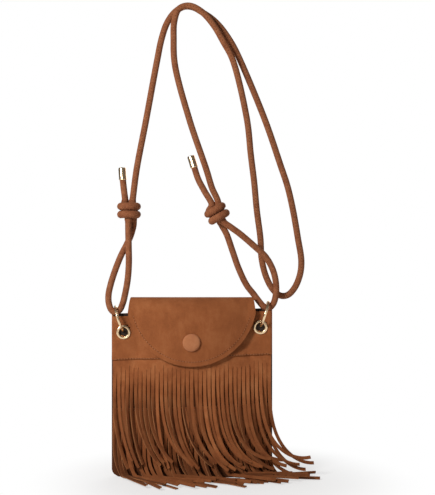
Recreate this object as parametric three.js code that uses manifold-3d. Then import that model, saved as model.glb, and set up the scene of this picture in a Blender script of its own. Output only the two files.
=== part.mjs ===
// A small suede shoulder bag: a flat pouch with two tiers of fringe, a round snap flap,
// a ring in an eyelet at each top corner, and a cord strap knotted to both rings.
// Millimetres, +Z up, front towards -Y. The bag is drawn standing on z = 0, centred on x = 0,
// and the whole group is lowered so that the origin is where the strap hangs on its hook.
import * as THREE from "three";
import { mergeVertices } from "three/addons/utils/BufferGeometryUtils.js";
import Module from "manifold-3d";

const wasm = await Module();
wasm.setup();

// Pouch
const POUCH_WIDTH = 158;
const POUCH_HEIGHT = 162.5;
const MOUTH_HALF_DEPTH = 8;
const BELLY_HALF_DEPTH = 12.5;
const BELLY_HEIGHT = 50;
const BASE_HALF_DEPTH = 5.5;
const SEAM_HALF_DEPTH = 0.9;
const BOTTOM_CORNER = 8;
const MOUTH_REACH = 0.7; // share of the half width that opens at the mouth
const FLAT_CORNER = 34.5; // how far below the mouth the top corners lie flat
const PINCH_SPAN = 68; // height over which the panels close together towards those corners
const PINCH_END = POUCH_HEIGHT - FLAT_CORNER;
const PINCH_START = PINCH_END - PINCH_SPAN;
const SIDE_TILT = 0.036; // rise of the right-hand side for each millimetre across
const TILT_HEIGHT = 60; // height at which the tilt is full

// Layers
const SUEDE = 1.4;
const LINING = 0.6;
const FIT = 0.3; // gap between pieces that lie on each other
const PANEL_OUT = FIT + SUEDE;
const LINING_TOP = 2; // how far the lining stops below the mouth
const LINING_BOTTOM = 3; // height of the lining's lower edge above the floor

// Front seams and fringe
const BAND_DEPTH = 43;
const BAND_SEAM = POUCH_HEIGHT - BAND_DEPTH;
const TIER_SEAM = 71.5; // above the floor, which the lower strips reach
const STRIP_COUNT = 37;
const SLIT = 0.7;
const FRINGE_SUEDE = 1.2;
const HEADER = 10;
const FRINGE_FIT = 1.1; // room between a panel and the fringe that lies on it
const END_DROP = (SIDE_TILT * POUCH_WIDTH) / 2; // how far the left-hand end hangs below the middle
const TIP_CLEARANCE = 7.812; // keeps the upper tips above the bends of the lower strips
const UPPER_TIP_HEIGHT = TIP_CLEARANCE + END_DROP;
const UPPER_DROP = BAND_SEAM - HEADER - UPPER_TIP_HEIGHT - END_DROP;
const LOWER_LENGTH = 108;
const UPPER_STAND_OFF = 2.2; // extra room that the upper strips leave for the lower tier
const TIER_CLEARANCE = 4.4; // height above the lower header at which they leave all of it
const FLOOR_BEND = 10;
const UPPER_SWEEP = { left: 4, right: 44 };
const LOWER_SWEEP = { left: 10, right: 56 };
const HANG_LEVEL = 40; // strips hang straight down below this height

// Flap and snap
const FLAP_RADIUS = 64.5;
const FLAP_CENTRE_RISE = 13.2; // from the mouth up to the middle of the flap's round edge
const FLAP_CENTRE_HEIGHT = POUCH_HEIGHT + FLAP_CENTRE_RISE;
const FLAP_RISE = 16.5; // from the mouth up to the top of the flap's fold
const FLAP_TOP = POUCH_HEIGHT + FLAP_RISE;
const FLAP_LINING = 0.8;
const FLAP_STACK = SUEDE + FIT + FLAP_LINING;
const NECK_SEWN = 14;
const NECK_INSET = 1;
const NECK_TAPER = 5.5; // how much narrower the neck is on each side where it is sewn to the back
const NECK_FRONT_HALF = FLAP_RADIUS - NECK_INSET;
const NECK_BACK_HALF = NECK_FRONT_HALF - NECK_TAPER;
const SNAP_DROP = 27.5; // from the mouth down to the snap's middle
const SNAP_HEIGHT = POUCH_HEIGHT - SNAP_DROP;
const BUTTON_RADIUS = 8.8;
const BUTTON_HEIGHT = 3;
const SOCKET_RADIUS = 7;
const SOCKET_HEIGHT = 2.2;
const STUD_FLANGE = 1;
const STUD_PIN_RADIUS = 2.2;
const STUD_PIN = 1.6;
const SHANK_RADIUS = 1.6;

// Eyelets and rings
const EYELET_INSET = 10.8;
const EYELET_DROP = 15.9; // from the mouth down to an eyelet's middle
const EYELET_HEIGHT = POUCH_HEIGHT - EYELET_DROP;
const EYELET_RADIUS = 7.4;
const EYELET_BORE = 4.3;
const EYELET_WALL = 0.6;
const EYELET_FLANGE = 1.2;
const RING_RADIUS = 12.7;
const RING_WIRE = 1.3;
const RING_SEAT = 1.2; // how far above the eyelet's middle the ring's lowest wire runs
const RING_LEAN = THREE.MathUtils.degToRad(18);

// Strap
const CORD_RADIUS = 3.2;
const KNOT_RADIUS = 11.3;
const KNOT_HALF_HEIGHT = 8.8;
const KNOT_LEFT = new THREE.Vector3(-63, 0, 265.5);
const KNOT_RIGHT = new THREE.Vector3(25, 0, 262.5);
const KNOT_RIGHT_TILT = THREE.MathUtils.degToRad(-30);
const CAP_RADIUS = 3.95;
const CAP_LENGTH = 12.5;
const CAP_BORE_DEPTH = 7;
const HOOK = new THREE.Vector3(-5, 0, 466.5);

// The strap's routes, in the bag's own coordinates. The shoulder cord climbs from the left knot,
// crosses the hook, drops in a spare loop on the right and crosses the hook again to the right knot.
const SHOULDER_ROUTE = [
  [-59.5, 0.3, 275.4],
  [-55.5, 0.6, 306],
  [-46, 1.2, 356],
  [-35, 2.4, 416],
  [-30.5, 3, 438],
  [-25, 3.5, 454],
  [-17, 3.6, 465],
  [-8, 3.6, 470.2],
  [1, 3.6, 469.6],
  [11, 3.6, 464],
  [20, 3.7, 458],
  [29, 3.8, 449],
  [40, 4, 433],
  [48.5, 4.3, 416],
  [73.5, 5.5, 356],
  [89, 6.3, 311],
  [96, 6.8, 290],
  [101.6, 7.3, 266],
  [106.5, 7.8, 238],
  [110, 8, 215],
  [108.6, 8, 201],
  [103, 8, 187.5],
  [96, 8, 180.5],
  [89, 8, 180],
  [81.5, 8, 186],
  [74.5, 8, 199],
  [70, 7.8, 217],
  [68.7, 7, 238],
  [65, 5, 266],
  [62.3, 3, 294],
  [58.8, 1, 322],
  [55, -1, 356],
  [40.5, -3.4, 416],
  [31.6, -3.6, 433],
  [21, -3.6, 451],
  [9, -3.6, 464],
  [-3, -3.6, 469.4],
  [-13, -3.6, 466.2],
  [-17.5, -3.6, 454],
  [-18.2, -3.5, 436],
  [-17, -3.2, 411],
  [-2.5, -2, 356],
  [14.5, -0.8, 306],
  [20, -0.2, 288],
  [26, 0.2, 274],
];
const LEFT_LOOP_ROUTE = [
  [-63.4, -3.3, 255.6],
  [-63.3, -3.7, 243],
  [-63, -3.7, 229],
  [-62.9, -3, 212],
  [-64.2, -2, 196],
  [-67, -1.2, 181],
  [-69.2, -0.7, 172.5],
  [-72.4, -0.2, 166],
  [-76.6, 0.2, 163.4],
  [-80.6, 0.5, 166],
  [-83.2, 0.8, 172.5],
  [-83.6, 1, 181],
  [-81.5, 1.6, 191.5],
  [-76.6, 2.4, 207],
  [-71, 3.2, 221],
  [-65.3, 3.7, 232.2],
  [-60.6, 3.7, 243.4],
  [-58.6, 3.3, 255.6],
];
const RIGHT_LOOP_ROUTE = [
  [31.7, -3.4, 254],
  [39, -3.6, 248.6],
  [48, -3.7, 242],
  [62, -3.5, 230],
  [73.6, -3, 219],
  [81, -2.4, 205.5],
  [84, -1.8, 191.5],
  [83.6, -1.2, 180],
  [81, -0.8, 172],
  [76.6, -0.2, 168],
  [71.8, 1, 169.4],
  [67.4, 5, 174.2],
  [62, 9.4, 181.4],
  [55, 10.6, 190.4],
  [47, 9.8, 207],
  [40.6, 7.6, 225],
  [34.6, 5, 242],
  [29, 3.4, 252.4],
];
const LEFT_TAIL_ROUTE = [
  [-66.8, -0.5, 275.4],
  [-67.9, -0.8, 285.5],
  [-69, -1, 296],
  [-69.4, -1, 302],
];
const RIGHT_TAIL_ROUTE = [
  [20.1, -0.3, 270.6],
  [12.4, -0.6, 285],
  [6.3, -0.8, 296.6],
  [2.4, -1, 308.3],
  [0.7, -1, 313.8],
];

const SUEDE_FACE = new THREE.MeshStandardMaterial({ color: 0x96593a, roughness: 0.95 });
const SUEDE_CORD = new THREE.MeshStandardMaterial({ color: 0x8f5a3d, roughness: 0.92 });
const LINING_CLOTH = new THREE.MeshStandardMaterial({ color: 0x33241c, roughness: 0.9 });
const PALE_GOLD = new THREE.MeshStandardMaterial({ color: 0xd8ab76, roughness: 0.28, metalness: 1 });

const { lerp, smoothstep } = THREE.MathUtils;

// Half the width of the pouch at a height, with its bottom corners rounded.
function halfWidth(z) {
  const below = Math.max(0, BOTTOM_CORNER - z);
  return POUCH_WIDTH / 2 - BOTTOM_CORNER + Math.sqrt(BOTTOM_CORNER ** 2 - below ** 2);
}

// Half the depth of the pouch's inside at a place on the front or back.
function depth(x, z) {
  const rise = Math.min(1, z / BELLY_HEIGHT);
  const low = lerp(BASE_HALF_DEPTH, BELLY_HALF_DEPTH, Math.sqrt(1 - (1 - rise) ** 2));
  const middle = lerp(low, MOUTH_HALF_DEPTH, smoothstep(z, BELLY_HEIGHT, POUCH_HEIGHT));
  const reach = (POUCH_WIDTH / 2) * lerp(1, MOUTH_REACH, smoothstep(z, PINCH_START, PINCH_END));
  const crown = Math.max(0, 1 - (x / reach) ** 2);
  return SEAM_HALF_DEPTH + (middle - SEAM_HALF_DEPTH) * crown;
}

// Height of a point of the pouch once the bag hangs a little lower on its left.
function tilted(x, z) {
  return z + SIDE_TILT * x * Math.min(1, z / TILT_HEIGHT);
}

// A closed sheet over a grid of cells. place gives a corner on the inner (0) or outer (1) face,
// and keep says which cells are there.
function sheet(columns, rows, place, keep = () => true) {
  const points = [];
  const quad = (a, b, c, d) => points.push(a, b, c, a, c, d);
  const there = (c, r) => c >= 0 && r >= 0 && c < columns && r < rows && keep(c, r);
  for (let c = 0; c < columns; c++)
    for (let r = 0; r < rows; r++) {
      if (!there(c, r)) continue;
      const corners = [[c, r], [c + 1, r], [c + 1, r + 1], [c, r + 1]];
      const inner = corners.map(([i, j]) => place(i, j, 0));
      const outer = corners.map(([i, j]) => place(i, j, 1));
      const neighbours = [[c, r - 1], [c + 1, r], [c, r + 1], [c - 1, r]];
      quad(...outer);
      quad(inner[0], inner[3], inner[2], inner[1]);
      neighbours.forEach(([i, j], k) => {
        const next = (k + 1) % 4;
        if (!there(i, j)) quad(outer[next], outer[k], inner[k], inner[next]);
      });
    }
  return facingOut(new THREE.BufferGeometry().setFromPoints(points));
}

// The same closed surface with its faces pointing out.
function facingOut(geometry) {
  const merged = merge(geometry);
  const position = merged.getAttribute("position");
  const corner = (i) => new THREE.Vector3().fromBufferAttribute(position, merged.index.getX(i));
  let volume = 0;
  for (let i = 0; i < merged.index.count; i += 3)
    volume += corner(i).dot(corner(i + 1).cross(corner(i + 2)));
  if (volume < 0) merged.index.array.reverse();
  return merged;
}

// A geometry with only its positions left and its shared corners merged.
function merge(geometry) {
  const loose = geometry.index ? geometry.toNonIndexed() : geometry;
  const bare = new THREE.BufferGeometry().setAttribute("position", loose.getAttribute("position"));
  return mergeVertices(bare, 1e-4);
}

function solidOf(geometry) {
  const merged = merge(geometry);
  const vertProperties = new Float32Array(merged.attributes.position.array);
  const triVerts = new Uint32Array(merged.index.array);
  return new wasm.Manifold(new wasm.Mesh({ numProp: 3, vertProperties, triVerts }));
}

function geometryOf(solid) {
  const { vertProperties, triVerts } = solid.getMesh();
  return new THREE.BufferGeometry()
    .setAttribute("position", new THREE.BufferAttribute(vertProperties, 3))
    .setIndex(new THREE.BufferAttribute(triVerts, 1));
}

function cut(geometry, ...tools) {
  return geometryOf(tools.reduce((left, tool) => left.subtract(solidOf(tool)), solidOf(geometry)));
}

const bag = new THREE.Group();
bag.position.copy(HOOK).negate();

function add(name, geometry, material) {
  const mesh = new THREE.Mesh(geometry, material);
  mesh.name = name;
  bag.add(mesh);
  return mesh;
}

// A round bar along Y through a place on the bag, for cutting holes.
function drill(x, z, radius) {
  return new THREE.CylinderGeometry(radius, radius, 80, 20).translate(x, 0, z);
}

// Every layer of the pouch turns at the same columns and heights, so that the layers stay parallel.
const COLUMNS = 14;
const LOW_HEIGHTS = [0, LINING_BOTTOM, 8, 18, 35, 55];
const HIGH_HEIGHTS = [TIER_SEAM, TIER_SEAM + 16.5, TIER_SEAM + 32.5, BAND_SEAM, BAND_SEAM + 20.5, POUCH_HEIGHT];
const HEIGHTS = [...LOW_HEIGHTS, ...HIGH_HEIGHTS].sort((a, b) => a - b);

// A sheet of the pouch on its front (-1) or back (+1), between two heights and two layers.
function pouchSheet(side, low, high, inner, outer) {
  const between = HEIGHTS.filter((z) => z > low + 2 * FIT && z < high - 2 * FIT);
  const rows = [low, ...between, high];
  return sheet(COLUMNS, rows.length - 1, (c, r, face) => {
    const z = rows[r];
    const x = lerp(-1, 1, c / COLUMNS) * halfWidth(z);
    return new THREE.Vector3(x, side * (depth(x, z) + lerp(inner, outer, face)), tilted(x, z));
  });
}

const EYELET_X = POUCH_WIDTH / 2 - EYELET_INSET;
const SIDES = [["left", -1], ["right", 1]];
const eyeletHeight = (side) => tilted(side * EYELET_X, EYELET_HEIGHT);
const BARREL_RADIUS = EYELET_BORE + EYELET_WALL;
const eyeletHoles = SIDES.map(([, side]) =>
  drill(side * EYELET_X, eyeletHeight(side), BARREL_RADIUS + FIT),
);

// Pouch: three sewn pieces at the front, a back that folds under as the base, and a cloth lining.
const shankHole = drill(0, SNAP_HEIGHT, SHANK_RADIUS + FIT);
add(
  "front_band",
  cut(pouchSheet(-1, BAND_SEAM, POUCH_HEIGHT, FIT, PANEL_OUT), ...eyeletHoles, shankHole),
  SUEDE_FACE,
);
add("front_middle_panel", pouchSheet(-1, TIER_SEAM, BAND_SEAM - FIT, FIT, PANEL_OUT), SUEDE_FACE);
add("front_lower_panel", pouchSheet(-1, FIT, TIER_SEAM - FIT, FIT, PANEL_OUT), SUEDE_FACE);

// The flat base under the pouch, out to the back panel's face.
function baseFold() {
  const half = halfWidth(0);
  const outline = new THREE.Shape();
  const across = Array.from({ length: COLUMNS + 1 }, (_, c) => lerp(-half, half, c / COLUMNS));
  const front = across.map((x) => new THREE.Vector2(x, -depth(x, 0)));
  const back = across.map((x) => new THREE.Vector2(x, depth(x, 0) + PANEL_OUT)).reverse();
  outline.setFromPoints([...front, ...back]);
  return new THREE.ExtrudeGeometry(outline, { depth: SUEDE, bevelEnabled: false });
}

const backSheet = pouchSheet(1, 0, POUCH_HEIGHT, FIT, PANEL_OUT);
const backWithBase = geometryOf(solidOf(backSheet).add(solidOf(baseFold())));
add("back_panel", cut(backWithBase, ...eyeletHoles), SUEDE_FACE);
for (const [name, side] of [["lining_front", -1], ["lining_back", 1]]) {
  const cloth = pouchSheet(side, LINING_BOTTOM, POUCH_HEIGHT - LINING_TOP, -LINING, 0);
  add(name, cut(cloth, ...eyeletHoles), LINING_CLOTH);
}

// Fringe: a sewn header cut into strips. path gives the middle of a strip's thickness and the
// direction of that thickness for a place across the strip and a share of its length.
const PITCH = POUCH_WIDTH / STRIP_COUNT;
const HEADER_LAYER = PANEL_OUT + FRINGE_FIT + FRINGE_SUEDE / 2;

function fringe(seam, stripRows, path) {
  const top = seam - FIT;
  const slitStart = seam - HEADER;
  const place = (column, row, face) => {
    const strip = Math.floor(column / 2);
    const edge = column % 2 ? PITCH - SLIT / 2 : SLIT / 2;
    const x = -POUCH_WIDTH / 2 + strip * PITCH + edge;
    const thickness = (face - 0.5) * FRINGE_SUEDE;
    if (row === 0) {
      const y = -(depth(x, top) + HEADER_LAYER + thickness);
      return new THREE.Vector3(x, y, tilted(x, top));
    }
    const { middle, out } = path(x, slitStart, (row - 1) / stripRows);
    return middle.addScaledVector(out, thickness);
  };
  const keep = (column, row) => row === 0 || column % 2 === 0;
  return sheet(2 * STRIP_COUNT - 1, stripRows + 1, place, keep);
}

// How far the strip that starts at x is swept to the right by its tip.
function sweep(range, x) {
  return lerp(range.left, range.right, x / POUCH_WIDTH + 0.5);
}

function hangingAt(x, z) {
  return depth(THREE.MathUtils.clamp(x, -POUCH_WIDTH / 2, POUCH_WIDTH / 2), Math.max(z, HANG_LEVEL));
}

function upperStrip(x, start, share) {
  const z = start - UPPER_DROP * share;
  const swept = x + sweep(UPPER_SWEEP, x) * share ** 1.8;
  const clear = (start - TIER_SEAM - TIER_CLEARANCE) / UPPER_DROP;
  const layer = HEADER_LAYER + UPPER_STAND_OFF * smoothstep(share, 0, clear);
  const middle = new THREE.Vector3(swept, -(hangingAt(swept, z) + layer), tilted(x, z));
  return { middle, out: new THREE.Vector3(0, -1, 0) };
}

// The lower strips hang to the floor, bend forward and run along it.
function lowerStrip(x, start, share) {
  const floor = FIT + FRINGE_SUEDE / 2;
  const bendTop = floor + FLOOR_BEND;
  const hang = tilted(x, start) - bendTop;
  const arc = (FLOOR_BEND * Math.PI) / 2;
  const along = share * LOWER_LENGTH;
  const turn = THREE.MathUtils.clamp((along - hang) / FLOOR_BEND, 0, Math.PI / 2);
  const run = Math.max(0, along - hang - arc);
  const swept = x + sweep(LOWER_SWEEP, x) * share ** 1.6;
  const z = bendTop + Math.max(0, hang - along) - FLOOR_BEND * Math.sin(turn);
  const y = -(hangingAt(swept, z) + HEADER_LAYER + FLOOR_BEND * (1 - Math.cos(turn)) + run);
  return {
    middle: new THREE.Vector3(swept, y, z),
    out: new THREE.Vector3(0, -Math.cos(turn), Math.sin(turn)),
  };
}

add("upper_fringe", fringe(BAND_SEAM, 4, upperStrip), SUEDE_FACE);
add("lower_fringe", fringe(TIER_SEAM, 6, lowerStrip), SUEDE_FACE);

// Snap: a socket on the band, a stud under the flap and a covered button on the flap's face.
const SOCKET_BACK = depth(0, SNAP_HEIGHT - SOCKET_RADIUS) + PANEL_OUT + FIT;
const STUD_FACE = SOCKET_BACK + SOCKET_HEIGHT + FIT;
const FLAP_STAND_OFF = FIT + SOCKET_HEIGHT + FIT + STUD_FLANGE + FIT;

// Distance in front of the pouch's middle plane of the flap's inner face.
function flapInner(x) {
  return depth(x, SNAP_HEIGHT - SOCKET_RADIUS) + PANEL_OUT + FLAP_STAND_OFF;
}

// A turned piece about Y at the snap, from (radius, distance in front) pairs.
function snapPiece(profile) {
  const points = profile.map(([radius, front]) => new THREE.Vector2(radius, -front));
  return facingOut(new THREE.LatheGeometry(points, 20).translate(0, 0, SNAP_HEIGHT));
}

const SOCKET_FACE = SOCKET_BACK + SOCKET_HEIGHT;
const PIN_WELL = STUD_PIN + FIT;
const BAND_INSIDE = depth(0, SNAP_HEIGHT) + FIT;
add(
  "snap_socket",
  snapPiece([
    [0, BAND_INSIDE],
    [SHANK_RADIUS, BAND_INSIDE],
    [SHANK_RADIUS, SOCKET_BACK],
    [SOCKET_RADIUS, SOCKET_BACK],
    [SOCKET_RADIUS, SOCKET_FACE - 0.5],
    [SOCKET_RADIUS - 0.5, SOCKET_FACE],
    [STUD_PIN_RADIUS + FIT, SOCKET_FACE],
    [STUD_PIN_RADIUS + FIT, SOCKET_FACE - PIN_WELL],
    [0, SOCKET_FACE - PIN_WELL],
  ]),
  PALE_GOLD,
);
const BUTTON_SEAT = flapInner(0) + FLAP_STACK + FIT;
add(
  "snap_stud",
  snapPiece([
    [0, STUD_FACE - FIT - STUD_PIN],
    [STUD_PIN_RADIUS, STUD_FACE - FIT - STUD_PIN],
    [STUD_PIN_RADIUS, STUD_FACE],
    [SOCKET_RADIUS, STUD_FACE],
    [SOCKET_RADIUS, STUD_FACE + STUD_FLANGE],
    [SHANK_RADIUS, STUD_FACE + STUD_FLANGE],
    [SHANK_RADIUS, BUTTON_SEAT - FIT],
    [0, BUTTON_SEAT - FIT],
  ]),
  PALE_GOLD,
);
add(
  "snap_button",
  snapPiece([
    [0, BUTTON_SEAT],
    [BUTTON_RADIUS - 0.5, BUTTON_SEAT],
    [BUTTON_RADIUS, BUTTON_SEAT + 0.8],
    [BUTTON_RADIUS - 0.6, BUTTON_SEAT + 1.9],
    [BUTTON_RADIUS - 2.4, BUTTON_SEAT + BUTTON_HEIGHT - 0.3],
    [0, BUTTON_SEAT + BUTTON_HEIGHT],
  ]),
  SUEDE_FACE,
);

// Flap: a round front that follows the pouch's curve, and a neck that arches over the mouth
// from its sewn strip on the back panel. The flap folds about the middle of that arch.
const NECK_RISE = (flapInner(0) + depth(0, POUCH_HEIGHT) + PANEL_OUT + FIT) / 2;
const FOLD_HEIGHT = FLAP_TOP - NECK_RISE - FLAP_STACK;

function flapLayer(inner, outer) {
  const columns = 12;
  const curved = sheet(columns, 1, (c, r, face) => {
    const x = lerp(-1, 1, c / columns) * (FLAP_RADIUS + 1);
    const z = r ? FOLD_HEIGHT - FIT : FLAP_CENTRE_HEIGHT - FLAP_RADIUS - 1;
    return new THREE.Vector3(x, -(flapInner(x) + lerp(inner, outer, face)), z);
  });
  const disc = new THREE.CylinderGeometry(FLAP_RADIUS, FLAP_RADIUS, 80, 56);
  const round = solidOf(curved).intersect(solidOf(disc.translate(0, 0, FLAP_CENTRE_HEIGHT)));
  return cut(geometryOf(round), shankHole);
}

add("flap_lining", flapLayer(0, FLAP_LINING), LINING_CLOTH);
add("flap", flapLayer(FLAP_LINING + FIT, FLAP_STACK), SUEDE_FACE);

const SEWN_ROWS = 2;
const ARCH_ROWS = 8;
const neck = sheet(12, SEWN_ROWS + ARCH_ROWS, (c, r, face) => {
  const sewn = Math.min(1, r / SEWN_ROWS);
  const angle = (Math.PI * Math.max(0, r - SEWN_ROWS)) / ARCH_ROWS;
  const half = lerp(NECK_BACK_HALF, NECK_FRONT_HALF, angle / Math.PI);
  const x = lerp(-1, 1, c / 12) * half;
  const sewnHeight = lerp(POUCH_HEIGHT - NECK_SEWN, FOLD_HEIGHT, sewn);
  const back = depth(x, Math.min(sewnHeight, POUCH_HEIGHT)) + PANEL_OUT + FIT;
  const front = flapInner(x);
  const out = face * FLAP_STACK;
  const y = (back - front) / 2 + ((back + front) / 2 + out) * Math.cos(angle);
  return new THREE.Vector3(x, y, sewnHeight + (NECK_RISE + out) * Math.sin(angle));
});
add("flap_neck", neck, SUEDE_FACE);

// Eyelets: a flanged barrel from the front, clenched on a washer at the back, with a ring in it.
const CORNER_FACE = SEAM_HALF_DEPTH + PANEL_OUT + FIT;

function turnedAlongY(profile) {
  const points = profile.map(([radius, y]) => new THREE.Vector2(radius, y));
  return facingOut(new THREE.LatheGeometry([...points, points[0].clone()], 20));
}

for (const [name, side] of SIDES) {
  const eyelet = add(
    "eyelet_" + name,
    turnedAlongY([
      [EYELET_BORE, CORNER_FACE + EYELET_FLANGE],
      [EYELET_BORE, -CORNER_FACE - EYELET_FLANGE / 2],
      [EYELET_BORE + EYELET_FLANGE / 2, -CORNER_FACE - EYELET_FLANGE],
      [EYELET_RADIUS - EYELET_FLANGE, -CORNER_FACE - EYELET_FLANGE],
      [EYELET_RADIUS, -CORNER_FACE - EYELET_FLANGE / 3],
      [EYELET_RADIUS, -CORNER_FACE],
      [BARREL_RADIUS, -CORNER_FACE],
      [BARREL_RADIUS, CORNER_FACE + EYELET_FLANGE],
    ]),
    PALE_GOLD,
  );
  const washer = add(
    "eyelet_washer_" + name,
    turnedAlongY([
      [BARREL_RADIUS + FIT, CORNER_FACE],
      [EYELET_RADIUS, CORNER_FACE],
      [EYELET_RADIUS - EYELET_FLANGE / 3, CORNER_FACE + 0.8 * EYELET_FLANGE],
      [BARREL_RADIUS + FIT, CORNER_FACE + 0.8 * EYELET_FLANGE],
    ]),
    PALE_GOLD,
  );
  const hoop = new THREE.TorusGeometry(RING_RADIUS, RING_WIRE, 8, 28).rotateY(Math.PI / 2);
  const ring = add("ring_" + name, merge(hoop.translate(0, 0, RING_SEAT + RING_RADIUS)), PALE_GOLD);
  for (const piece of [eyelet, washer, ring])
    piece.position.set(side * EYELET_X, 0, eyeletHeight(side));
  ring.rotation.y = side * RING_LEAN;
}

// Strap: cord along its routes, a knot of two turns above each ring, and a metal cap on each tail.
function cord(route, steps) {
  const path = new THREE.CatmullRomCurve3(route.map((point) => new THREE.Vector3(...point)));
  const section = new THREE.Shape().absarc(0, 0, CORD_RADIUS, 0, 2 * Math.PI);
  const tube = { extrudePath: path, steps, curveSegments: 4, bevelEnabled: false };
  return facingOut(new THREE.ExtrudeGeometry(section, tube));
}

add("shoulder_cord", cord(SHOULDER_ROUTE, 60), SUEDE_CORD);
add("loop_left", cord(LEFT_LOOP_ROUTE, 28), SUEDE_CORD);
add("loop_right", cord(RIGHT_LOOP_ROUTE, 28), SUEDE_CORD);
add("tail_left", cord(LEFT_TAIL_ROUTE, 3), SUEDE_CORD);
add("tail_right", cord(RIGHT_TAIL_ROUTE, 5), SUEDE_CORD);

function knotBody() {
  const half = [
    [0, 1],
    [0.55, 1],
    [0.86, 0.86],
    [1, 0.5],
    [0.92, 0.06],
  ];
  const upper = half.map(([r, h]) => new THREE.Vector2(r * KNOT_RADIUS, h * KNOT_HALF_HEIGHT));
  const lower = upper.map(({ x, y }) => new THREE.Vector2(x, -y)).reverse();
  return facingOut(new THREE.LatheGeometry([...upper, ...lower], 16).rotateX(Math.PI / 2));
}

const knotLeft = add("knot_left", knotBody(), SUEDE_CORD);
knotLeft.position.copy(KNOT_LEFT);
const knotRight = add("knot_right", knotBody(), SUEDE_CORD);
knotRight.position.copy(KNOT_RIGHT);
knotRight.rotation.y = KNOT_RIGHT_TILT;

function capBody() {
  const bore = CORD_RADIUS + FIT;
  return turnedAlongY([
    [0, CAP_LENGTH],
    [CAP_RADIUS - 1, CAP_LENGTH],
    [CAP_RADIUS, CAP_LENGTH - 1],
    [CAP_RADIUS, 0],
    [bore, 0],
    [bore, CAP_BORE_DEPTH],
    [0, CAP_BORE_DEPTH],
  ]);
}

for (const [name, route] of [["cap_left", LEFT_TAIL_ROUTE], ["cap_right", RIGHT_TAIL_ROUTE]]) {
  const [mouth, end] = route.slice(-2).map((point) => new THREE.Vector3(...point));
  const cap = add(name, capBody(), PALE_GOLD);
  cap.position.copy(mouth);
  const along = end.sub(mouth).normalize();
  cap.quaternion.setFromUnitVectors(new THREE.Vector3(0, 1, 0), along);
}

export default new THREE.Group().add(bag);
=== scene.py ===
"""Looks of a fringed suede shoulder bag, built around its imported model.

Sizes are in millimetres in the bag's own coordinates: it stands on z = 0, is centred on x = 0 and
faces -Y. in_row() turns a place to metres in the frame's coordinates, whose origin is the strap's hook.
"""

import math
import random

import bpy
from mathutils import Matrix, Vector, noise


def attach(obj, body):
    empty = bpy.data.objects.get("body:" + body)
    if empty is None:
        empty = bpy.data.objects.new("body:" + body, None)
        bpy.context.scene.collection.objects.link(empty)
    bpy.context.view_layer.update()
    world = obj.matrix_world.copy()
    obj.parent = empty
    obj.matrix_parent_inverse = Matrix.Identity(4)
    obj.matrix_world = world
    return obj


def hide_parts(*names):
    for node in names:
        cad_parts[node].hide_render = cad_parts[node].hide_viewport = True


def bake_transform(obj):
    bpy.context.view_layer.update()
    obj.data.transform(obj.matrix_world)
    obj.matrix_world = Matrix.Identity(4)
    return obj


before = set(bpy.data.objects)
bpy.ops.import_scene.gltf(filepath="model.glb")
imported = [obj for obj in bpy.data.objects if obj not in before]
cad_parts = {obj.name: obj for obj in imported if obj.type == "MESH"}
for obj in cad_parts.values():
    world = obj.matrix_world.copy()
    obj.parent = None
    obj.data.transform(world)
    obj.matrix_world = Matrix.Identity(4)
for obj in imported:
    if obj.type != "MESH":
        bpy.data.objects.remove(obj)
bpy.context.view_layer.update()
bpy.ops.object.select_all(action="DESELECT")

MM = 0.001
HOOK = Vector((-5, 0, 466.5))

# Pouch
POUCH_WIDTH = 158
POUCH_HEIGHT = 162.5
MOUTH_HALF_DEPTH = 8
BELLY_HALF_DEPTH = 12.5
BELLY_HEIGHT = 50
BASE_HALF_DEPTH = 5.5
SEAM_HALF_DEPTH = 0.9
BOTTOM_CORNER = 8
MOUTH_REACH = 0.7  # how far out the mouth opens, as a share of the half width
PINCH_START = 60  # heights between which the top corners are pinched flat
PINCH_END = 128
SIDE_TILT = 0.036  # rise of the hanging pouch to the right, for each millimetre across
TILT_HEIGHT = 60  # height above which the tilt is full
SUEDE = 1.4
LINING = 0.6
FIT = 0.3  # gap between pieces that lie on one another
PANEL_OUT = FIT + SUEDE
LINING_TOP = 2  # how far the front lining ends below the front's top edge
BACK_RISE = 2.6  # how far the back's top edge shows above the front's
LINING_BOTTOM = 3
SHEET_COLUMNS = 72
LINING_COLUMNS = 40
SHEET_STEP = 2.2  # height of one row of a panel's mesh
EDGE_TURN = 1.2  # how far a side seam stands out past the panel's edge
EDGE_TURNS = (30, 58, 84)  # degrees of the columns that turn a panel in at its side seams
BASE_SHARES = (0, 0.35, 0.7)  # places of the base's rows on the way from front to back
PANEL_PAINTED_SHADE = 0.92  # painted shade on the suede behind the fringe: how far it is darkened, the same all over
SLACK = 0.35  # depth of the soft waves in a panel
SLACK_SPAN = 34  # length of one of those waves
BAND_WAVES = 1  # seeds of those waves
FRONT_WAVES = 2
BACK_WAVES = 3
FLAP_WAVES = 5

# Front seams and fringe
BAND_SEAM = 119.5
TIER_SEAM = 71.5
BAND_LAP = 1.4  # how far the fringe header goes up behind the band's folded edge
BAND_FLARE = 3  # how far the band's folded edge stands out over the fringe header
BAND_FLARE_HEIGHT = 12
STRIP_COUNT = 37
SLIT = 0.35
FRINGE_SUEDE = 1.1
HEADER = 14  # from a tier's top edge to where its strips hang free
HEADER_ROWS = 7
SLIT_ROW = 4  # the highest row of the header that a slit reaches
STRIP_COLUMNS = 3  # a strip's two edges and its middle
STRIP_ROWS = 40
NARROWING_ROWS = 8  # rows in which a strip narrows below its slit
PAINTED_SHADE_ROWS = 20  # rows in which its painted shade grows to full
STRIP_SHRINK = 0.86  # a strip's width below its slit, as a share of that at its top
STRIP_CUP = 0.25  # how far a strip's middle stands out from its edges
UPPER_LENGTH_LEFT = 92
UPPER_LENGTH_RIGHT = 122
LOWER_LENGTH = 106
UPPER_STAND_OFF = 3
HANG_LEVEL = 40  # below this height the strips hang as far out as here
LEAN_LEFT = 20  # degrees off plumb at the tips of the upper strips
LEAN_RIGHT = 100
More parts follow.
